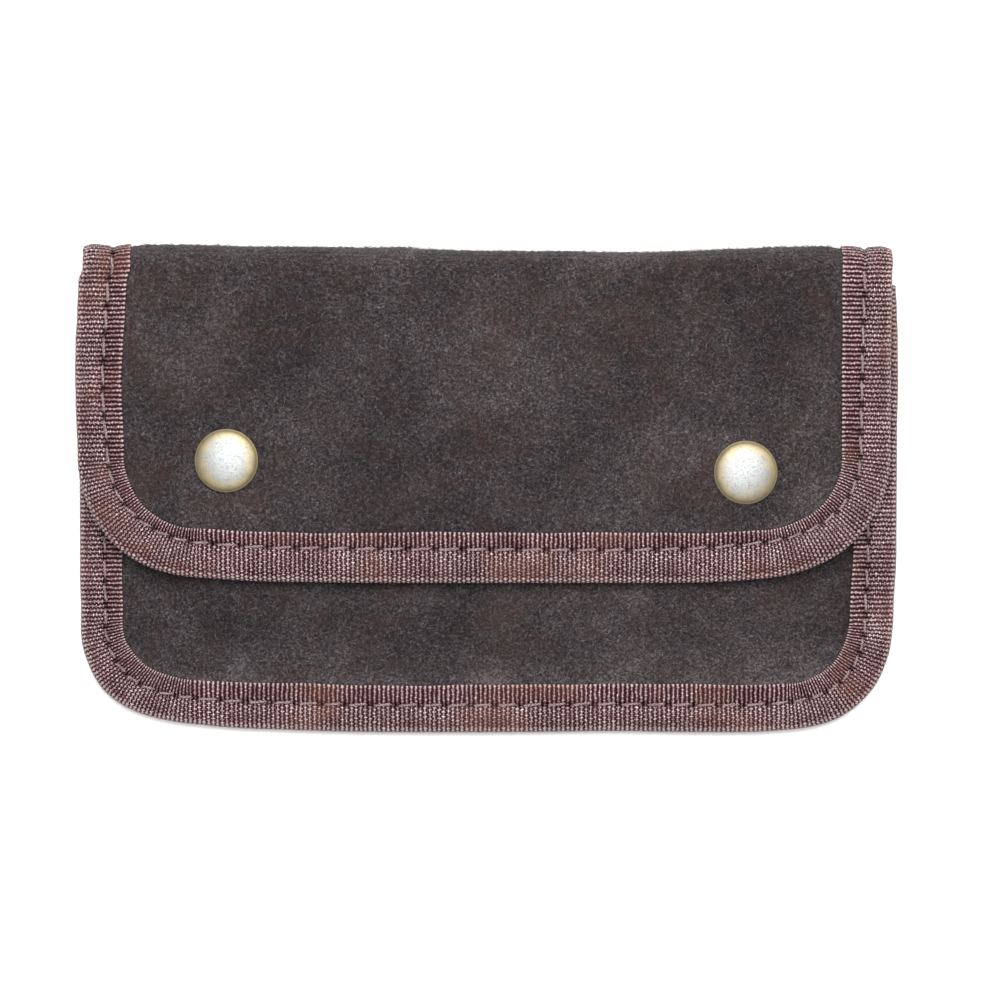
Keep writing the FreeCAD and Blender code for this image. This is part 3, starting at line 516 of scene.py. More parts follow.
def ribbedTape():
    # ribbed nylon tape, mauve brown: cross ribs a millimetre apart that bulge into knuckles, by
    # turns on neighbouring ribs, so that the valleys between them, in painted maroon shade, are
    # rows of short ovals. The crowns carry painted highlights in pale flecks, the bars inside the
    # seam are clean, the woven inner edge is pale, and the rim has a painted highlight
    material, tree, place = newMaterial("ribbed nylon tape")
    noise = {
        name: addNode(tree, "TexNoise", {"Vector": place, "Scale": scale, "Detail": detail})
        for name, (scale, detail) in tapeLook["noises"].items()
    }
    split = addNode(tree, "SeparateXYZ", {0: addNode(tree, "UVMap")}).node.outputs
    stray = tapeLook["stray"]
    along = weighted(tree, split[0], [(noise["stray"], stray), (1.0, -stray / 2)])
    across = weighted(tree, split[1], [(noise["wander"], tapeLook["wander"])])
    rib = addNode(tree, "Math", {0: along}, operation="FLOOR")
    turn = weighted(tree, across, [(rib, 0.5)])
    knuckle = fromMiddle(tree, turn)
    # the bar is widest on the knuckle's line, narrowing over a fifth of the way to the next
    reach = addNode(tree, "MapRange", {0: split[1], 1: -0.6, 2: 0.4, 3: 0.34, 4: 0.18})
    bulge = addNode(tree, "MapRange", {
        0: knuckle, 1: 0.02, 2: 0.20, 3: reach, 4: 0.0,
    }, interpolation_type="SMOOTHSTEP")
    gap = addNode(tree, "Math", {0: fromMiddle(tree, along), 1: bulge}, operation="SUBTRACT")
    # close to the outer edge the bars break into beads
    outer = addNode(tree, "MapRange", {0: split[1], 1: -6.9, 2: -6.4, 3: 0.4, 4: 1.0})
    bead = addNode(tree, "MapRange", {
        0: knuckle, 1: 0.22, 2: 0.46, 3: 1.0, 4: outer,
    }, interpolation_type="SMOOTHSTEP")
    weave = addNode(tree, "MapRange", {
        0: gap, 1: 0.10, 2: 0.35, 3: bead, 4: 0.0,
    }, interpolation_type="SMOOTHSTEP")
    number = addNode(tree, "Math", {0: turn}, operation="FLOOR")
    number = addNode(tree, "CombineXYZ", {0: rib, 1: number})
    chance = addNode(tree, "TexWhiteNoise", {"Vector": number}, noise_dimensions="2D")
    # painted highlight: pale flecks along each bar's crest. The bars stand lighter than the gaps
    # between them, which are painted shade
    crestHighlight = addNode(tree, "MapRange", {0: gap, 1: -0.10, 2: 0.20, 3: 0.50, 4: 0.0})
    highlightFleck = addNode(tree, "MapRange", {0: noise["fibre"], 1: 0.42, 2: 0.62, 3: 0.0, 4: crestHighlight})
    crown = weighted(tree, 0.36, [(chance, 0.08), (highlightFleck, 1.0)])
    tone = weighted(tree, tapeLook["ground"], [
        (crown, weave), (noise["cloud"], 0.34), (noise["fibre"], 0.30),
    ])
    colour = addNode(tree, "ValToRGB", {0: tone}, stops=tapeLook["stops"])
    thin = addNode(tree, "MapRange", {0: noise["thin"], 1: 0.50, 2: 0.66, 3: 0.0, 4: 0.35})
    # the mesh's shade is painted shade above 0, in a needle hole and along the seam's crease, and
    # below 0 a paler tone: the woven edge's own loops, and a painted highlight round the rim
    shade = addNode(tree, "Attribute", attribute_name="shade").node.outputs["Fac"]
    edgeLoopsAndRimHighlight = addNode(tree, "MapRange", {0: shade, 1: -1.0, 2: 0.0, 3: weave, 4: 0.0})
    # rust is the tape's own tint, the pale edge partly its own loops and partly a painted highlight
    # on the rim, and the hole colour painted shade
    for share, overlayColour in ((thin, "rust"), (edgeLoopsAndRimHighlight, "edgeLoopsAndRimHighlight"), (shade, "hole")):
        colour = addNode(tree, "Mix", {
            0: share, 6: colour, 7: hexColour(tapeLook[overlayColour]),
        }, data_type="RGBA").node.outputs[2]
    normal = addNode(tree, "Bump", {
        "Strength": tapeLook["bump"], "Distance": 0.00016,
        "Height": weighted(tree, weave, [(noise["fibre"], 0.45)]),
    })
    surface = addNode(tree, "BsdfPrincipled", {
        "Base Color": colour, "Roughness": 0.5, "Normal": normal,
        "Specular IOR Level": weighted(tree, 0.04, [(weave, 0.30)]),
    })
    addNode(tree, "OutputMaterial", {"Surface": surface})
    return material


def sewingThread():
    # bonded nylon thread, two plies twisted: the tape's own colour, worn paler and glossier
    material, tree, place = newMaterial("bonded nylon thread")
    fibre = addNode(tree, "TexNoise", {"Vector": place, "Scale": 4000.0, "Detail": 3.0})
    colour = addNode(tree, "ValToRGB", {0: fibre}, stops=[(0.40, "#4E3438"), (0.62, "#B7A3A6")])
    normal = addNode(tree, "Bump", {"Strength": 0.5, "Distance": 0.00005, "Height": fibre})
    surface = addNode(tree, "BsdfPrincipled", {
        "Base Color": colour, "Roughness": 0.4, "Normal": normal, "Specular IOR Level": 0.5,
    })
    addNode(tree, "OutputMaterial", {"Surface": surface})
    return material


clothLook = {
    "pitch": 0.55,  # mm between threads; real ones are finer, and these are as fine as shows
    "stops": [(0.15, "#1F1A19"), (0.52, "#3A3230"), (0.90, "#5C514D")],
}


def liningCloth():
    # plain-woven cotton in warm grey-brown: crossed threads, a few slubs, and quite matt
    material, tree, place = newMaterial("plain woven cotton")
    split = addNode(tree, "SeparateXYZ", {0: addNode(tree, "UVMap")}).node.outputs
    crossed = []
    for direction in (0, 1):
        turn = weighted(tree, 0.0, [(split[direction], 2 * math.pi / clothLook["pitch"])])
        crossed.append(addNode(tree, "Math", {0: turn}, operation="SINE"))
    weave = addNode(tree, "Math", {0: crossed[0], 1: crossed[1]}, operation="MULTIPLY")
    cloud = addNode(tree, "TexNoise", {"Vector": place, "Scale": 160.0, "Detail": 5.0})
    slub = addNode(tree, "TexNoise", {"Vector": place, "Scale": 1800.0, "Detail": 2.0})
    tone = weighted(tree, 0.10, [(weave, 0.28), (slub, 0.50), (cloud, 0.35)])
    colour = addNode(tree, "ValToRGB", {0: tone}, stops=clothLook["stops"])
    normal = addNode(tree, "Bump", {"Strength": 0.7, "Distance": 0.0001, "Height": weave})
    surface = addNode(tree, "BsdfPrincipled", {
        "Base Color": colour, "Roughness": 0.85, "Normal": normal,
        "Sheen Weight": 0.12, "Specular IOR Level": 0.3,
    })
    addNode(tree, "OutputMaterial", {"Surface": surface})
    return material


def antiqueBrass(name, look):
    # stamped brass, darkened and then rubbed: pale and speckled over the raised middle, brown
    # yellow towards the rim, with dark oxide left in its pits
    material, tree, place = newMaterial(name)
    out = addNode(tree, "SeparateXYZ", {0: addNode(tree, "UVMap")})
    speckle = addNode(tree, "TexNoise", {"Vector": place, "Scale": 2100.0, "Detail": 4.0})
    cloud = addNode(tree, "TexNoise", {"Vector": place, "Scale": 420.0, "Detail": 4.0})
    # tone by distance from the middle, with wear; on the caps the paler rim is a painted reflection
    toneByPlace = weighted(tree, -0.38, [(out, 1 / look["radius"]), (speckle, 0.22), (cloud, 0.55)])
    colour = addNode(tree, "ValToRGB", {0: toneByPlace}, stops=look["stops"])
    pits = addNode(tree, "MapRange", {0: speckle, 1: 0.54, 2: 0.72, 3: 0.0, 4: look["pits"]})
    colour = addNode(tree, "Mix", {
        0: pits, 6: colour, 7: hexColour(look["dark"]),
    }, data_type="RGBA").node.outputs[2]
    rough = weighted(tree, look["roughness"] - 0.15, [(speckle, 0.30)])
    normal = addNode(tree, "Bump", {"Strength": 0.35, "Distance": 0.00006, "Height": speckle})
    surface = addNode(tree, "BsdfPrincipled", {
        "Base Color": colour, "Roughness": rough, "Normal": normal, "Metallic": 1.0,
    })
    addNode(tree, "OutputMaterial", {"Surface": surface})
    return material


def springSteel():
    # drawn steel wire, bright with fine lines along it
    material, tree, place = newMaterial("drawn spring steel")
    drawn = addNode(tree, "Mapping", {"Vector": place, "Scale": (0.05, 1.0, 1.0)})
    lines = addNode(tree, "TexNoise", {"Vector": drawn, "Scale": 2000.0, "Detail": 3.0})
    colour = addNode(tree, "ValToRGB", {0: lines}, stops=[(0.3, "#7D7B76"), (0.7, "#B5B3AD")])
    normal = addNode(tree, "Bump", {"Strength": 0.2, "Distance": 0.00002, "Height": lines})
    surface = addNode(tree, "BsdfPrincipled", {
        "Base Color": colour, "Roughness": 0.32, "Normal": normal, "Metallic": 1.0,
    })
    addNode(tree, "OutputMaterial", {"Surface": surface})
    return material


def napFibre():
    # loose ends of the suede's own fibres, paler than the hide
    material, tree, place = newMaterial("loose suede fibre")
    tone = addNode(tree, "TexNoise", {"Vector": place, "Scale": 500.0, "Detail": 4.0})
    colour = addNode(tree, "ValToRGB", {0: tone}, stops=[
        (0.3, "#2E2627"), (0.5, "#544A4B"), (0.7, "#8A7F7F"),
    ])
    surface = addNode(tree, "BsdfPrincipled", {
        "Base Color": colour, "Roughness": 0.9, "Sheen Weight": 0.2, "Specular IOR Level": 0.2,
    })
    addNode(tree, "OutputMaterial", {"Surface": surface})
    return material


suede = suedeNap()
tapeCloth = ribbedTape()
thread = sewingThread()
cloth = liningCloth()
# the cap's silvery middle and brass rim are its own wear, and the rim's paler tone is a painted
# reflection
capBrass = antiqueBrass("rubbed antique brass", {
    "stops": [(0.0, "#939699"), (0.62, "#959694"), (0.80, "#ABA086"), (0.96, "#BDB08C")],
    "dark": "#706E66", "pits": 0.45, "radius": 7.5, "roughness": 0.56,
})
fittingBrass = antiqueBrass("tarnished brass", {
    "stops": [(0.0, "#B9A56F"), (0.6, "#9C8750"), (1.0, "#6E5C34")],
    "dark": "#4C4028", "pits": 0.5, "radius": 6.0, "roughness": 0.36,
})
steel = springSteel()
fibre = napFibre()
print("materials made")


def bendUpper(piece):
    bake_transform(piece)


def bendMiddle(piece):
    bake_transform(piece)


def bendLower(piece):
    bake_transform(piece)


hide = {
    "margin": 0.6,  # how far it stops inside the tape's outer edge
    "grid": (200, 110),
    "clothGrid": (120, 60),
    "dents": 0.05,
}


# half width at a place: straight down to the corner, then the corner's quarter circle
def cornerWidth(down, edge, radius):
    end = edge["end"] - hide["margin"]
    radius = radius - hide["margin"]
    into = np.clip(down - (end - radius), 0, radius)
    return edge["half"] - hide["margin"] - radius + np.sqrt(np.maximum(radius ** 2 - into ** 2, 0))


# a grid of places on a sheet: rows crowd together towards the rounded end, and the columns share
# out the width of each row
def sheetGrid(edge, start, grid):
    columns, rows = grid
    end = edge["end"] - hide["margin"]
    t = np.linspace(0, 1, rows)
    down = start + (end - start) * (0.6 * t + 0.4 * np.sin(t * math.pi / 2))
    left = cornerWidth(down, edge, edge["cornerLeft"])
    right = cornerWidth(down, edge, edge["cornerRight"])
    share = np.linspace(0, 1, columns)
    x = -left[:, None] + (left + right)[:, None] * share
    return x, np.broadcast_to(down[:, None], x.shape)


# the hide's slow dents, from crossed sines; the nap itself is in the fibres and the bump
def dents(x, down):
    slow = np.sin(x / 3.1 + 1.7 * np.sin(down / 5.3)) * np.sin(down / 2.7 + 1.3 * np.sin(x / 6.1))
    return hide["dents"] * slow


def makeLayer(name, place, x, down, upper, lower, material, rough=0.0):
    top = place(x, down, upper + rough * dents(x, down))
    bottom = place(x, down, lower + 0 * x)
    return makeSheet(name, top, bottom, material, np.stack([x, down], -1))


def onBack(x, down, lift):
    return offFace(lambda u, w: shellFace(u, -w), x, down, -np.asarray(lift))


def ridePouch(piece):
    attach(piece, "pouch")


# the hide's grid and the lining's, on the same outline
def grids(shape, edge, start):
    return [shape(*sheetGrid(edge, start, hide[grid])) for grid in ("grid", "clothGrid")]


# the fold's grid has both its ends exactly on the cuts
across = np.linspace(-1, 1, 640) * (flapEdge["half"] - hide["margin"])
x, down = shaped(*np.meshgrid(across, np.linspace(-cutAt, cutAt, 17)), flapEdge)
down = np.where(np.abs(down) > cutAt - 1e-9, np.sign(down) * cutAt, down)
foldGrids = (x, down), (x[:, ::4], down[:, ::4])
flapGrids = grids(lambda *grid: shaped(*grid, flapEdge), flapEdge, cutAt)
backGrids = grids(shapedBack, backEdge, cutAt)
frontGrids = grids(lambda *grid: shaped(*grid, bodyEdge), bodyEdge, tape - mouthEdge)

# name, face, grids, rough, nodes it stands for, how it moves, length, how it is held, area's share
for name, face, both, rough, nodes, bend, length, held, share in (
    (
        "flap", onShell, flapGrids, 1.0, ("flap", "fold_upper"), bendUpper,
        flapEnd - cutAt, "folded", 0.95,
    ),
    ("fold", onShell, foldGrids, 1.0, ("fold_lower",), bendMiddle, 2 * cutAt, "folded", 1.0),
    ("back", onBack, backGrids, 0.0, ("back",), bendLower, backEnd - cutAt, "folded", 0.97),
    (
        "front", onFront, frontGrids, 1.0, ("front",), ridePouch,
        mouthEdge - bodyBottom, "stretched", 0.95,
    ),
):
    outer = makeLayer(name + "Suede", face, *both[0], 0.0, -leather, suede, rough)
    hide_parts(*(node + "_panel" for node in nodes))
    inner = makeLayer(name + "Lining", face, *both[1], -leather, -shell, cloth)
    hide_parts(*(node + "_lining" for node in nodes))
    for piece, slot in ((outer, "suede"), (inner, "lining_fabric")):
        bend(piece)
    print(name, "made")


tapeForm = {
    "width": 25.4,
    "roll": 1.5,  # mm from the outer edge to where the face is level
    "rib": 0.17,  # height of a rib
    "groove": 0.34,  # depth of the seam's groove
    "hole": 0.42,
    "inner": 10,  # rows of points inside the seam, outside it, round half the edge and underneath
    "outer": 18,
    "edge": 5,
    "under": 11,
}
faceCount = tapeForm["inner"] + tapeForm["outer"] - 1


# rounded ribs: the sine's size over half a turn, made fuller by a power
def ribWave(count):
    return np.abs(np.sin(math.pi * count)) ** 0.7


# the section before its ribs: insets and lifts in over the face, which is puffed on both sides of
# the seam, round the edge on a half ellipse, and back underneath
def tapeSection(s, length, face, seamAt, look):
    roll, thickness = tapeForm["roll"], look["thickness"]
    t = np.linspace(0, 1, tapeForm["inner"])
    inside = face + (seamAt - face) * (0.5 - 0.5 * np.cos(t * math.pi) + t) / 2
    t = np.linspace(0, 1, tapeForm["outer"])[1:]
    outside = seamAt + (roll - seamAt) * (0.75 * t + 0.25 * t ** 2)
    back = roll + (face - look["backShort"] - roll) * np.linspace(0, 1, tapeForm["under"])[1:]
    bend = np.linspace(0, math.pi / 2, tapeForm["edge"] + 1)[1:]
    shape = (len(s), tapeForm["edge"])
    puff = look["puff"] * (0.4 + 0.6 * smooth(np.minimum(s, length - s) / look["calm"]))
    share = (outside - roll) / (seamAt - roll)
    crown = puff * np.clip(1 - (2 * share - 1) ** 2, 0, 1) ** 0.7
    inCrown = 0.6 * puff * np.sin(math.pi * (inside - seamAt) / (face - seamAt) * 0.62) ** 0.8
    level = tape + thickness / 2
    inset = np.concatenate([
        inside, outside,
        np.broadcast_to(roll - roll * np.sin(bend), shape),
        np.broadcast_to(roll - roll * np.cos(bend), shape),
        back,
    ], 1)
    lift = np.concatenate([
        tape + inCrown, tape + crown,
        np.broadcast_to(level * np.cos(bend) - thickness / 2, shape),
        np.broadcast_to(-level * np.sin(bend) - thickness / 2, shape),
        np.full(back.shape, tapeForm["rib"] - tape - thickness),
    ], 1)
    return inset, lift


# painted shade above 0, in the needle holes and along the seam's crease; below 0 paler, on the
# woven edge, which is the tape's own loops, and round the rim, which is a painted highlight
def tapeShade(off, toHole, count, look):
    columns = np.arange(off.shape[1])
    # painted shade: dark in each needle hole and along the seam's crease
    hole = 1.15 * np.exp(-(toHole / 0.85) ** 4) * np.exp(-(off / 0.34) ** 2)
    creaseShade = look["creaseShade"] * np.exp(-(off / 0.42) ** 2)
    shade = np.clip(hole + creaseShade, 0, 0.96) * (columns < faceCount)
    # paler: the inner woven edge's own loops, and a painted highlight round the rim
    rim = np.abs(columns - faceCount - 1.5) < 2
    loose = 0.5 + 0.5 * np.sin(math.pi * count) ** 2
    return shade - loose * (1.0 * (columns == 0) + 0.5 * (columns == 1) + 0.7 * rim)


# one strip of tape folded over an edge. path turns length and inset into a place on the sheet, and
# place turns that and a lift into a point. The section gets its ribs, its seam's groove and a pit
# for each needle hole, and then returns along the layers that the tape holds
def tapeStrip(path, place, length, look):
    thickness = look["thickness"]
    ribs = round(length / tapeLook["ribPitch"])
    s = np.linspace(0, length, ribs * 4 + 1)[:, None]
    face = tableAt(s / length, look["face"]) + 0.10 * np.sin(s / 7.3) + 0.07 * np.sin(s / 2.9)
    seamAt = tableAt(s / length, look["seam"])
    inset, lift = tapeSection(s, length, face, seamAt, look)
    steps = np.hypot(np.diff(inset), np.diff(lift))
    lengthwise = np.concatenate([np.zeros_like(s), steps], 1).cumsum(1)
    seamLength = lengthwise[:, [tapeForm["inner"] - 1]]

    columns = np.arange(inset.shape[1])
    onFace = columns < faceCount
    outward = np.where(columns < faceCount + tapeForm["edge"], 1.0, -1.0)
    toHole = np.abs((s / look["pitch"] + 0.5) % 1 - 0.5) * look["pitch"]
    hole = np.exp(-(toHole / 0.75) ** 2) * np.exp(-((inset - seamAt) / 0.38) ** 2)
    seam = np.exp(-((inset - seamAt) / 0.5) ** 2) * onFace
    count = s / length * ribs
    rib = ribWave(count)
    slack = 0.10 * np.sin(s / 4.7 + inset / 5.0) + 0.08 * np.sin(s / 11.3)
    pressed = tapeForm["groove"] * seam + tapeForm["hole"] * hole
    lift = lift + outward * tapeForm["rib"] * rib * (1 - 0.6 * seam)
    lift = lift + onFace * (slack * (1 - seam) - pressed)
    inset = inset + (columns == 0) * (0.22 * rib - 0.1)
    inset = inset - ((columns >= faceCount) & (columns < faceCount + 8)) * 0.10 * rib

    ones = np.ones_like(s)
    inset = np.concatenate([inset, face - look["backShort"], tape * ones, tape * ones, face], 1)
    lift = np.concatenate([lift, -thickness * ones, -thickness * ones, 0 * ones, 0 * ones], 1)
    lengthwise = np.concatenate([lengthwise, np.zeros((len(s), 4))], 1)
    across = (seamLength - lengthwise) / tapeLook["knuckle"]
    uv = np.stack([np.broadcast_to(count, inset.shape), across], -1)
    lengths = np.broadcast_to(s, inset.shape)
    return place(*path(lengths, inset), lift), uv, tapeShade(inset - seamAt, toHole, count, look)


# face is how far the tape reaches in and seam where it is sewn, each at shares of the length
flapTapeLook = {
    "thickness": shell,
    "puff": 0.75,
    "calm": 14.0,  # over how many millimetres from its ends the puff grows
    "pitch": 6.55,
    "backShort": 0.8,
    # how deep the painted shade along the seam's crease is
    "creaseShade": 0.18,
    "face": [
        (0, 11.3), (0.2, 11.3), (0.35, 11.6), (0.5, 11.9), (0.65, 11.7), (0.75, 11.3),
        (0.85, 11.8), (1, 11.9),
    ],
    "seam": [
        (0, 7.2), (0.1, 6.8), (0.18, 7.8), (0.24, 8.5), (0.36, 8.1), (0.6, 7.8), (0.72, 8.6),
        (0.84, 7.4), (1, 6.6),
    ],
}
bodyTapeLook = {
    "thickness": rimTop - tape,
    "puff": 0.60,
    "calm": 14.0,
    "pitch": 5.9,
    "backShort": 0.6,
    "creaseShade": 0.18,
    "face": [
        (0, 10.2), (0.22, 10.2), (0.4, 11.2), (0.62, 11.4), (0.74, 11.0), (0.85, 10.3), (1, 10.3),
    ],
    "seam": [(0, 6.1), (0.22, 6.1), (0.4, 6.6), (0.62, 6.6), (0.8, 6.9), (1, 6.9)],
}
mouthTapeLook = {
    "thickness": shell, "puff": 0.35, "calm": 6.0, "pitch": 5.9, "backShort": 0.0,
    "creaseShade": 0.18, "face": [(0, 10.0), (1, 10.0)], "seam": [(0, 7.0), (1, 7.0)],
    "endIn": 13.4,  # how far its ends stop inside the body's sides
}
leftTapeLook = dict(
    flapTapeLook, face=[(0, 11.3), (1, 11.3)], seam=[(0, 7.2), (1, 7.2)],
    # the side strips over the fold get deeper painted shade along the seam's crease
    calm=1000.0, pitch=60.0, creaseShade=0.6,
)
rightTapeLook = dict(leftTapeLook, face=[(0, 11.9), (1, 11.9)], seam=[(0, 6.6), (1, 6.6)])
mouthHalf = halfWidth - mouthTapeLook["endIn"]


def flapPath(s, inset):
    return edgePath(s, inset, flapEdge)


def bodyPath(s, inset):
    return edgePath(s, inset, bodyEdge)


def mouthPath(s, inset):
    return s - mouthHalf, inset - mouthEdge


# each tape's path, the face it lies on, its length and its look
flapRun = flapPath, onShell, edgeLength(flapEdge), flapTapeLook
bodyRun = bodyPath, onRim, edgeLength(bodyEdge), bodyTapeLook
mouthRun = mouthPath, onFront, 2 * mouthHalf, mouthTapeLook


# a strip of tape down each side of the sheet, between two places on it
def sideStrips(start, end, puff):
    strips = []
    for side, look in ((-1, leftTapeLook), (1, rightTapeLook)):
        def path(s, inset, side=side):
            return shaped(side * (flapEdge["half"] - inset), start + s, flapEdge)
        strips.append(tapeStrip(path, onShell, end - start, dict(look, puff=puff)))
    return strips


backTapeStart = -(quarter + foldY + bodyEdge["start"])
for name, strips, nodes, bend, length in (
    (
        "flapTape", [tapeStrip(*flapRun)],
        ("flap_binding", "fold_upper_binding_left", "fold_upper_binding_right"),
        bendUpper, flapRun[2],
    ),
    ("foldTapes", sideStrips(-cutAt, cutAt, flapTapeLook["puff"]), (), bendMiddle, 4 * cutAt),
    (
        "backTapes", sideStrips(backTapeStart, -cutAt, 0.0),
        ("fold_lower_binding_left", "fold_lower_binding_right"), bendLower,
        -2 * (cutAt + backTapeStart),
    ),
    ("bodyTape", [tapeStrip(*bodyRun)], ("body_binding",), ridePouch, bodyRun[2]),
    ("mouthTape", [tapeStrip(*mouthRun)], ("mouth_binding",), ridePouch, mouthRun[2]),
):
    piece = makeTubes(name, strips, tapeCloth)
    if nodes:
        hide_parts(*nodes)
    bend(piece)
print("bindings made")


seamLook = {
    "plyRadius": 0.18,
    "plyOffset": 0.22,  # from the thread's middle to a ply's middle
    "turns": 3.0,  # of the plies in one stitch
    "slant": 0.40,  # how far a stitch drifts across on its way
    "uneven": 0.08,
    "reach": 0.76,  # of the way from hole to hole
    "sunk": 0.12,
    "dip": 0.8,
    "rings": 13,
    "sides": 4,
}


# a row of stitches: for each, two plies wound round each other along its length, dipping into the
# needle hole at both ends. A ply is a four-sided tube of thirteen rings
def makeStitches(name, path, place, length, look, lift):
    rings, sides, apart = seamLook["rings"], seamLook["sides"], seamLook["plyOffset"]
    pitch = look["pitch"]
    count = int(length // pitch)
    share = np.linspace(-0.5, 0.5, rings)[None, None, :, None]
    middle = ((np.arange(count) + 0.5) * pitch)[:, None, None, None]
    slant = (seamLook["slant"] + random.normal(0, seamLook["uneven"], count))[:, None, None, None]
    turn = share * 2 * math.pi * seamLook["turns"] + np.array([0.0, math.pi])[None, :, None, None]
    around = (np.arange(sides) / sides * 2 * math.pi)[None, None, None, :]
    dip = np.abs(share * 2) ** 6
    thick = seamLook["plyRadius"] * (1 - 0.4 * dip)
    s = middle + share * pitch * seamLook["reach"]
    across = tableAt(s / length, look["seam"]) + slant * share
    across = across + apart * np.cos(turn) + thick * np.cos(around)
    height = seamLook["sunk"] - seamLook["dip"] * dip
    height = height + apart * np.sin(turn) + thick * np.sin(around)
    s, across, height = np.broadcast_arrays(s, across, lift + math.copysign(1.0, lift) * height)
    points = place(*path(s, across), height).reshape(-1, 3)
    ends = np.array([np.arange(sides)[::-1], np.arange(sides) + (rings - 1) * sides])
    one = np.concatenate([gridFaces(rings, sides, wrap=True), ends])
    faces = (np.arange(count * 2)[:, None, None] * rings * sides + one[None]).reshape(-1, 4)
    return makeMesh(name, points, [faces], thread)


for name, run, lift, node, bend in (
    ("flapStitches", flapRun, tape, "flap_seam_thread", bendUpper),
    ("flapUnderStitches", flapRun, -shell - tape, None, bendUpper),
    ("bodyStitches", bodyRun, tape, "body_seam_thread", ridePouch),
    ("bodyUnderStitches", bodyRun, 0.5 - rimTop, None, ridePouch),
    ("mouthStitches", mouthRun, tape, "mouth_seam_thread", ridePouch),
):
    piece = makeStitches(name, *run, lift)
    if node:
        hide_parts(node)
    bend(piece)
print("seams made")


slotForm = {"hem": 2.4, "hemRise": 0.12, "wave": 0.05, "corner": 2.0, "grid": (90, 50)}


# a flat sheet in the place of its node, with a hem that is a little thicker along its top: it has
# the body's own corners where it reaches them
def cardSheet(node, name):
    low, high = boxOf(node)
    narrower = bodyEdge["half"] - (high[0] - low[0]) / 2 - hide["margin"]
    shorter = max(narrower, low[1] - bodyBottom - hide["margin"])
    edge = dict(bodyEdge, half=bodyEdge["half"] - narrower, end=hide["margin"] - low[1])
    for corner in ("cornerLeft", "cornerRight"):
        edge[corner] = max(bodyEdge[corner] - shorter, slotForm["corner"])
    x, down = shaped(*sheetGrid(edge, -high[1], slotForm["grid"]), bodyEdge)
    hem = smooth((slotForm["hem"] + 0.3 - (high[1] + down)) / 0.3)
    wave = slotForm["wave"] * np.sin(x / 9.0) * np.sin(down / 7.0)
    top = np.stack([x, -down, high[2] - 0.05 + hem * slotForm["hemRise"] + wave], -1)
    bottom = np.stack([x, -down, low[2] + 0.02 + wave], -1)
    piece = makeSheet(name, top, bottom, cloth, np.stack([x, down], -1))
    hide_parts(node)
    ridePouch(piece)


for node, name in (
    ("card_panel", "cardPanel"), ("card_slot_upper", "cardSlotUpper"),
    ("card_slot_middle", "cardSlotMiddle"), ("card_slot_lower", "cardSlotLower"),
):
    cardSheet(node, name)


# gives a carried-over node its finish
def finishNode(node, material):
    materials = frame["nodes"][node].data.materials
    materials.clear()
    materials.append(material)


finishNode("card_seam_thread", thread)
print("card slots made")


capForm = {"radius": 7.5, "height": 2.6, "rim": 0.55}


# half section of a cap: a shallow dome that steepens into a rolled rim, and a flat underside
def capSection():
    rim, top = capForm["rim"], capForm["height"] - capForm["rim"]
    turns = np.linspace(0, math.pi / 2, 22)[:-1]
    wide, middle = capForm["radius"] - 0.25, capForm["radius"] - rim
    dome = [(wide * math.sin(a), rim + top * math.cos(a) ** 0.85) for a in turns]
    roll = np.linspace(math.pi / 2, -math.pi / 2, 9)[3:]
    edge = [(middle + rim * math.cos(a), rim + rim * math.sin(a)) for a in roll]
    return [*dome, *edge, (0.0, 0.0)]


for side in ("left", "right"):
    low, high = boxOf("snap_cap_" + side)
    centre = (*((low + high) / 2)[:2], high[2] - capForm["height"])
    cap = makeTurned("cap" + side.capitalize(), centre, capSection(), capBrass)
    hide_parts("snap_cap_" + side)
    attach(cap, "flap")
    for node in ("stud", "post", "socket"):
        finishNode(f"snap_{node}_{side}", fittingBrass)
    finishNode("snap_spring_" + side, steel)
print("snaps made")


napForm = {
    "radius": 0.035,
    "length": 0.30,
    "foldStanding": 2.6,  # how much more it stands up over the fold
    "clear": 12.4,  # how far it keeps from the outer edges at the sides, which is under the tape
    "flap": 9000,
    "front": 5000,
    "fold": 4200,
}


# short fibres lying on the suede: each starts at a random place, heads a random way, lifts a
# little, curves and narrows to a point. A fibre is two three-sided rings and a tip
def makeFibres(name, place, count, low, high, standing):
    x = random.uniform(low[0], high[0], count)
    down = random.uniform(low[1], high[1], count)
    heading = random.uniform(0, 2 * math.pi, count)
    curl = random.normal(0, 0.8, count)
    length = random.gamma(3.0, napForm["length"], count) + 0.3
    rise = random.uniform(0.05, 0.30, count) * standing
    along = np.array([0.0, 0.55, 1.0])
    angle = heading[:, None] + curl[:, None] * along
    spineX = x[:, None] + length[:, None] * along * np.cos(angle)
    spineDown = down[:, None] + length[:, None] * along * np.sin(angle)
    height = -0.03 + rise[:, None] * np.sin(along * 1.9)[None] * np.minimum(length[:, None], 1.2)
    thick = napForm["radius"] * np.array([1.0, 0.8, 0.0])[None, :, None]
    ring = np.arange(3) / 3 * 2 * math.pi
    points = place(
        spineX[..., None] - np.sin(angle)[..., None] * thick * np.cos(ring),
        spineDown[..., None] + np.cos(angle)[..., None] * thick * np.cos(ring),
        height[..., None] + thick * np.sin(ring),
    ).reshape(count, 9, 3)[:, :7]
    tips = np.array([[3, 4, 6], [4, 5, 6], [5, 3, 6], [2, 1, 0]])
    offset = np.arange(count)[:, None, None] * 7
    walls = (offset + gridFaces(2, 3, wrap=True)[None]).reshape(-1, 4)
    return makeMesh(name, points, [walls, (offset + tips[None]).reshape(-1, 3)], fibre)


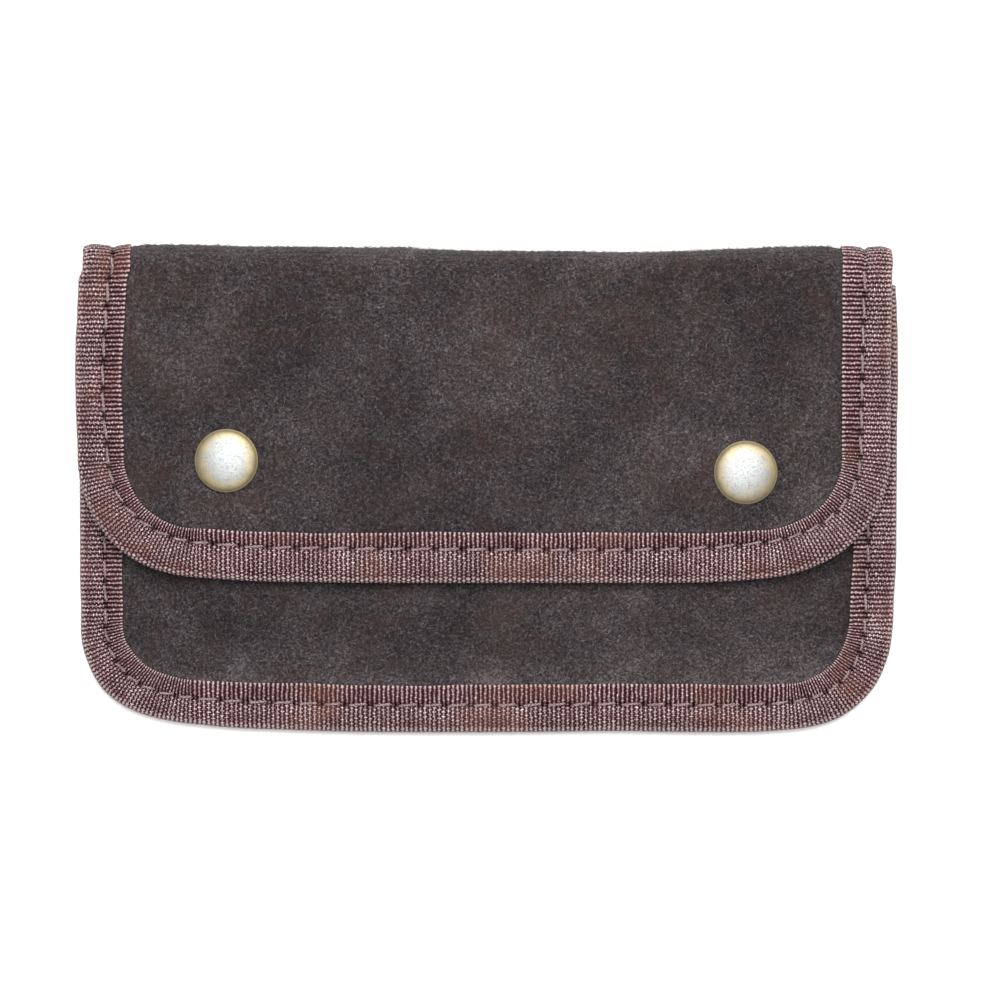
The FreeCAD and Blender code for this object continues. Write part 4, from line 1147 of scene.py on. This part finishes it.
side = halfWidth - napForm["clear"]
for name, place, reach, span, standing, bend in (
    ("flap", onShell, side, (cutAt, flapEnd - 12.5), 1.0, bendUpper),
    ("fold", onShell, side, (-cutAt, cutAt), napForm["foldStanding"], bendMiddle),
    ("front", onFront, side - 1, (0.0, -bodyBottom - 12), 1.0, ridePouch),
):
    low, high = (-reach, span[0]), (reach, span[1])
    piece = makeFibres(name + "Fibres", place, napForm[name], low, high, standing)
    bend(piece)
print("fibres made")


view = {
    "distance": 900.0,
    "across": 238.0,  # millimetres that fill the frame at the level height
    "centre": (3.3, -2.7),
    "level": 10.0,
    "sensor": 36.0,
    "tent": 0.34,  # strength of the white light from all round
}

camera = bpy.data.objects.new("camera", bpy.data.cameras.new("camera"))
bpy.context.scene.collection.objects.link(camera)
camera.location = [value * mm for value in (*view["centre"], view["distance"] + view["level"])]
camera.data.sensor_width = view["sensor"]
camera.data.lens = view["sensor"] * view["distance"] / view["across"]
camera.data.clip_start, camera.data.clip_end = 0.05, 20.0
bpy.context.scene.camera = camera
bpy.context.scene.view_settings.view_transform = "Standard"

lights = [
    # name, place and size in metres, watts, colour
    ("overhead", (0.02, 0.42, 1.10), 0.80, 22.0, "#FFFEFC"),
    ("besideCamera", (-0.05, -0.30, 1.10), 0.50, 4.5, "#FFFEFC"),
    ("warmSide", (0.75, 0.55, 0.60), 0.25, 1.5, "#FFE9C4"),
]
for name, place, size, power, colour in lights:
    lamp = bpy.data.lights.new(name, "AREA")
    lamp.shape, lamp.size, lamp.energy, lamp.color = "DISK", size, power, hexColour(colour)[:3]
    lampObject = bpy.data.objects.new(name, lamp)
    bpy.context.scene.collection.objects.link(lampObject)
    lampObject.location = place
    lampObject.rotation_euler = (-Vector(place)).to_track_quat("-Z", "Y").to_euler()

world = bpy.data.worlds.new("white tent")
world.use_nodes = True
world.node_tree.nodes["Background"].inputs[0].default_value = (1, 1, 1, 1)
world.node_tree.nodes["Background"].inputs[1].default_value = view["tent"]
bpy.context.scene.world = world

floorMaterial, tree, place = newMaterial("white card")
grain = addNode(tree, "TexNoise", {"Vector": place, "Scale": 700.0, "Detail": 3.0})
floorColour = addNode(tree, "ValToRGB", {0: grain}, stops=[(0.3, "#F4F4F4"), (0.7, "#FAFAFA")])
floorSurface = addNode(tree, "BsdfPrincipled", {"Base Color": floorColour, "Roughness": 0.8})
addNode(tree, "OutputMaterial", {"Surface": floorSurface})
corners = np.array([[-1, -1, 0], [1, -1, 0], [1, 1, 0], [-1, 1, 0]]) * 2000.0
floor = makeMesh("floor", corners, [np.array([[0, 1, 2, 3]])], floorMaterial)
print("camera, light and floor made")
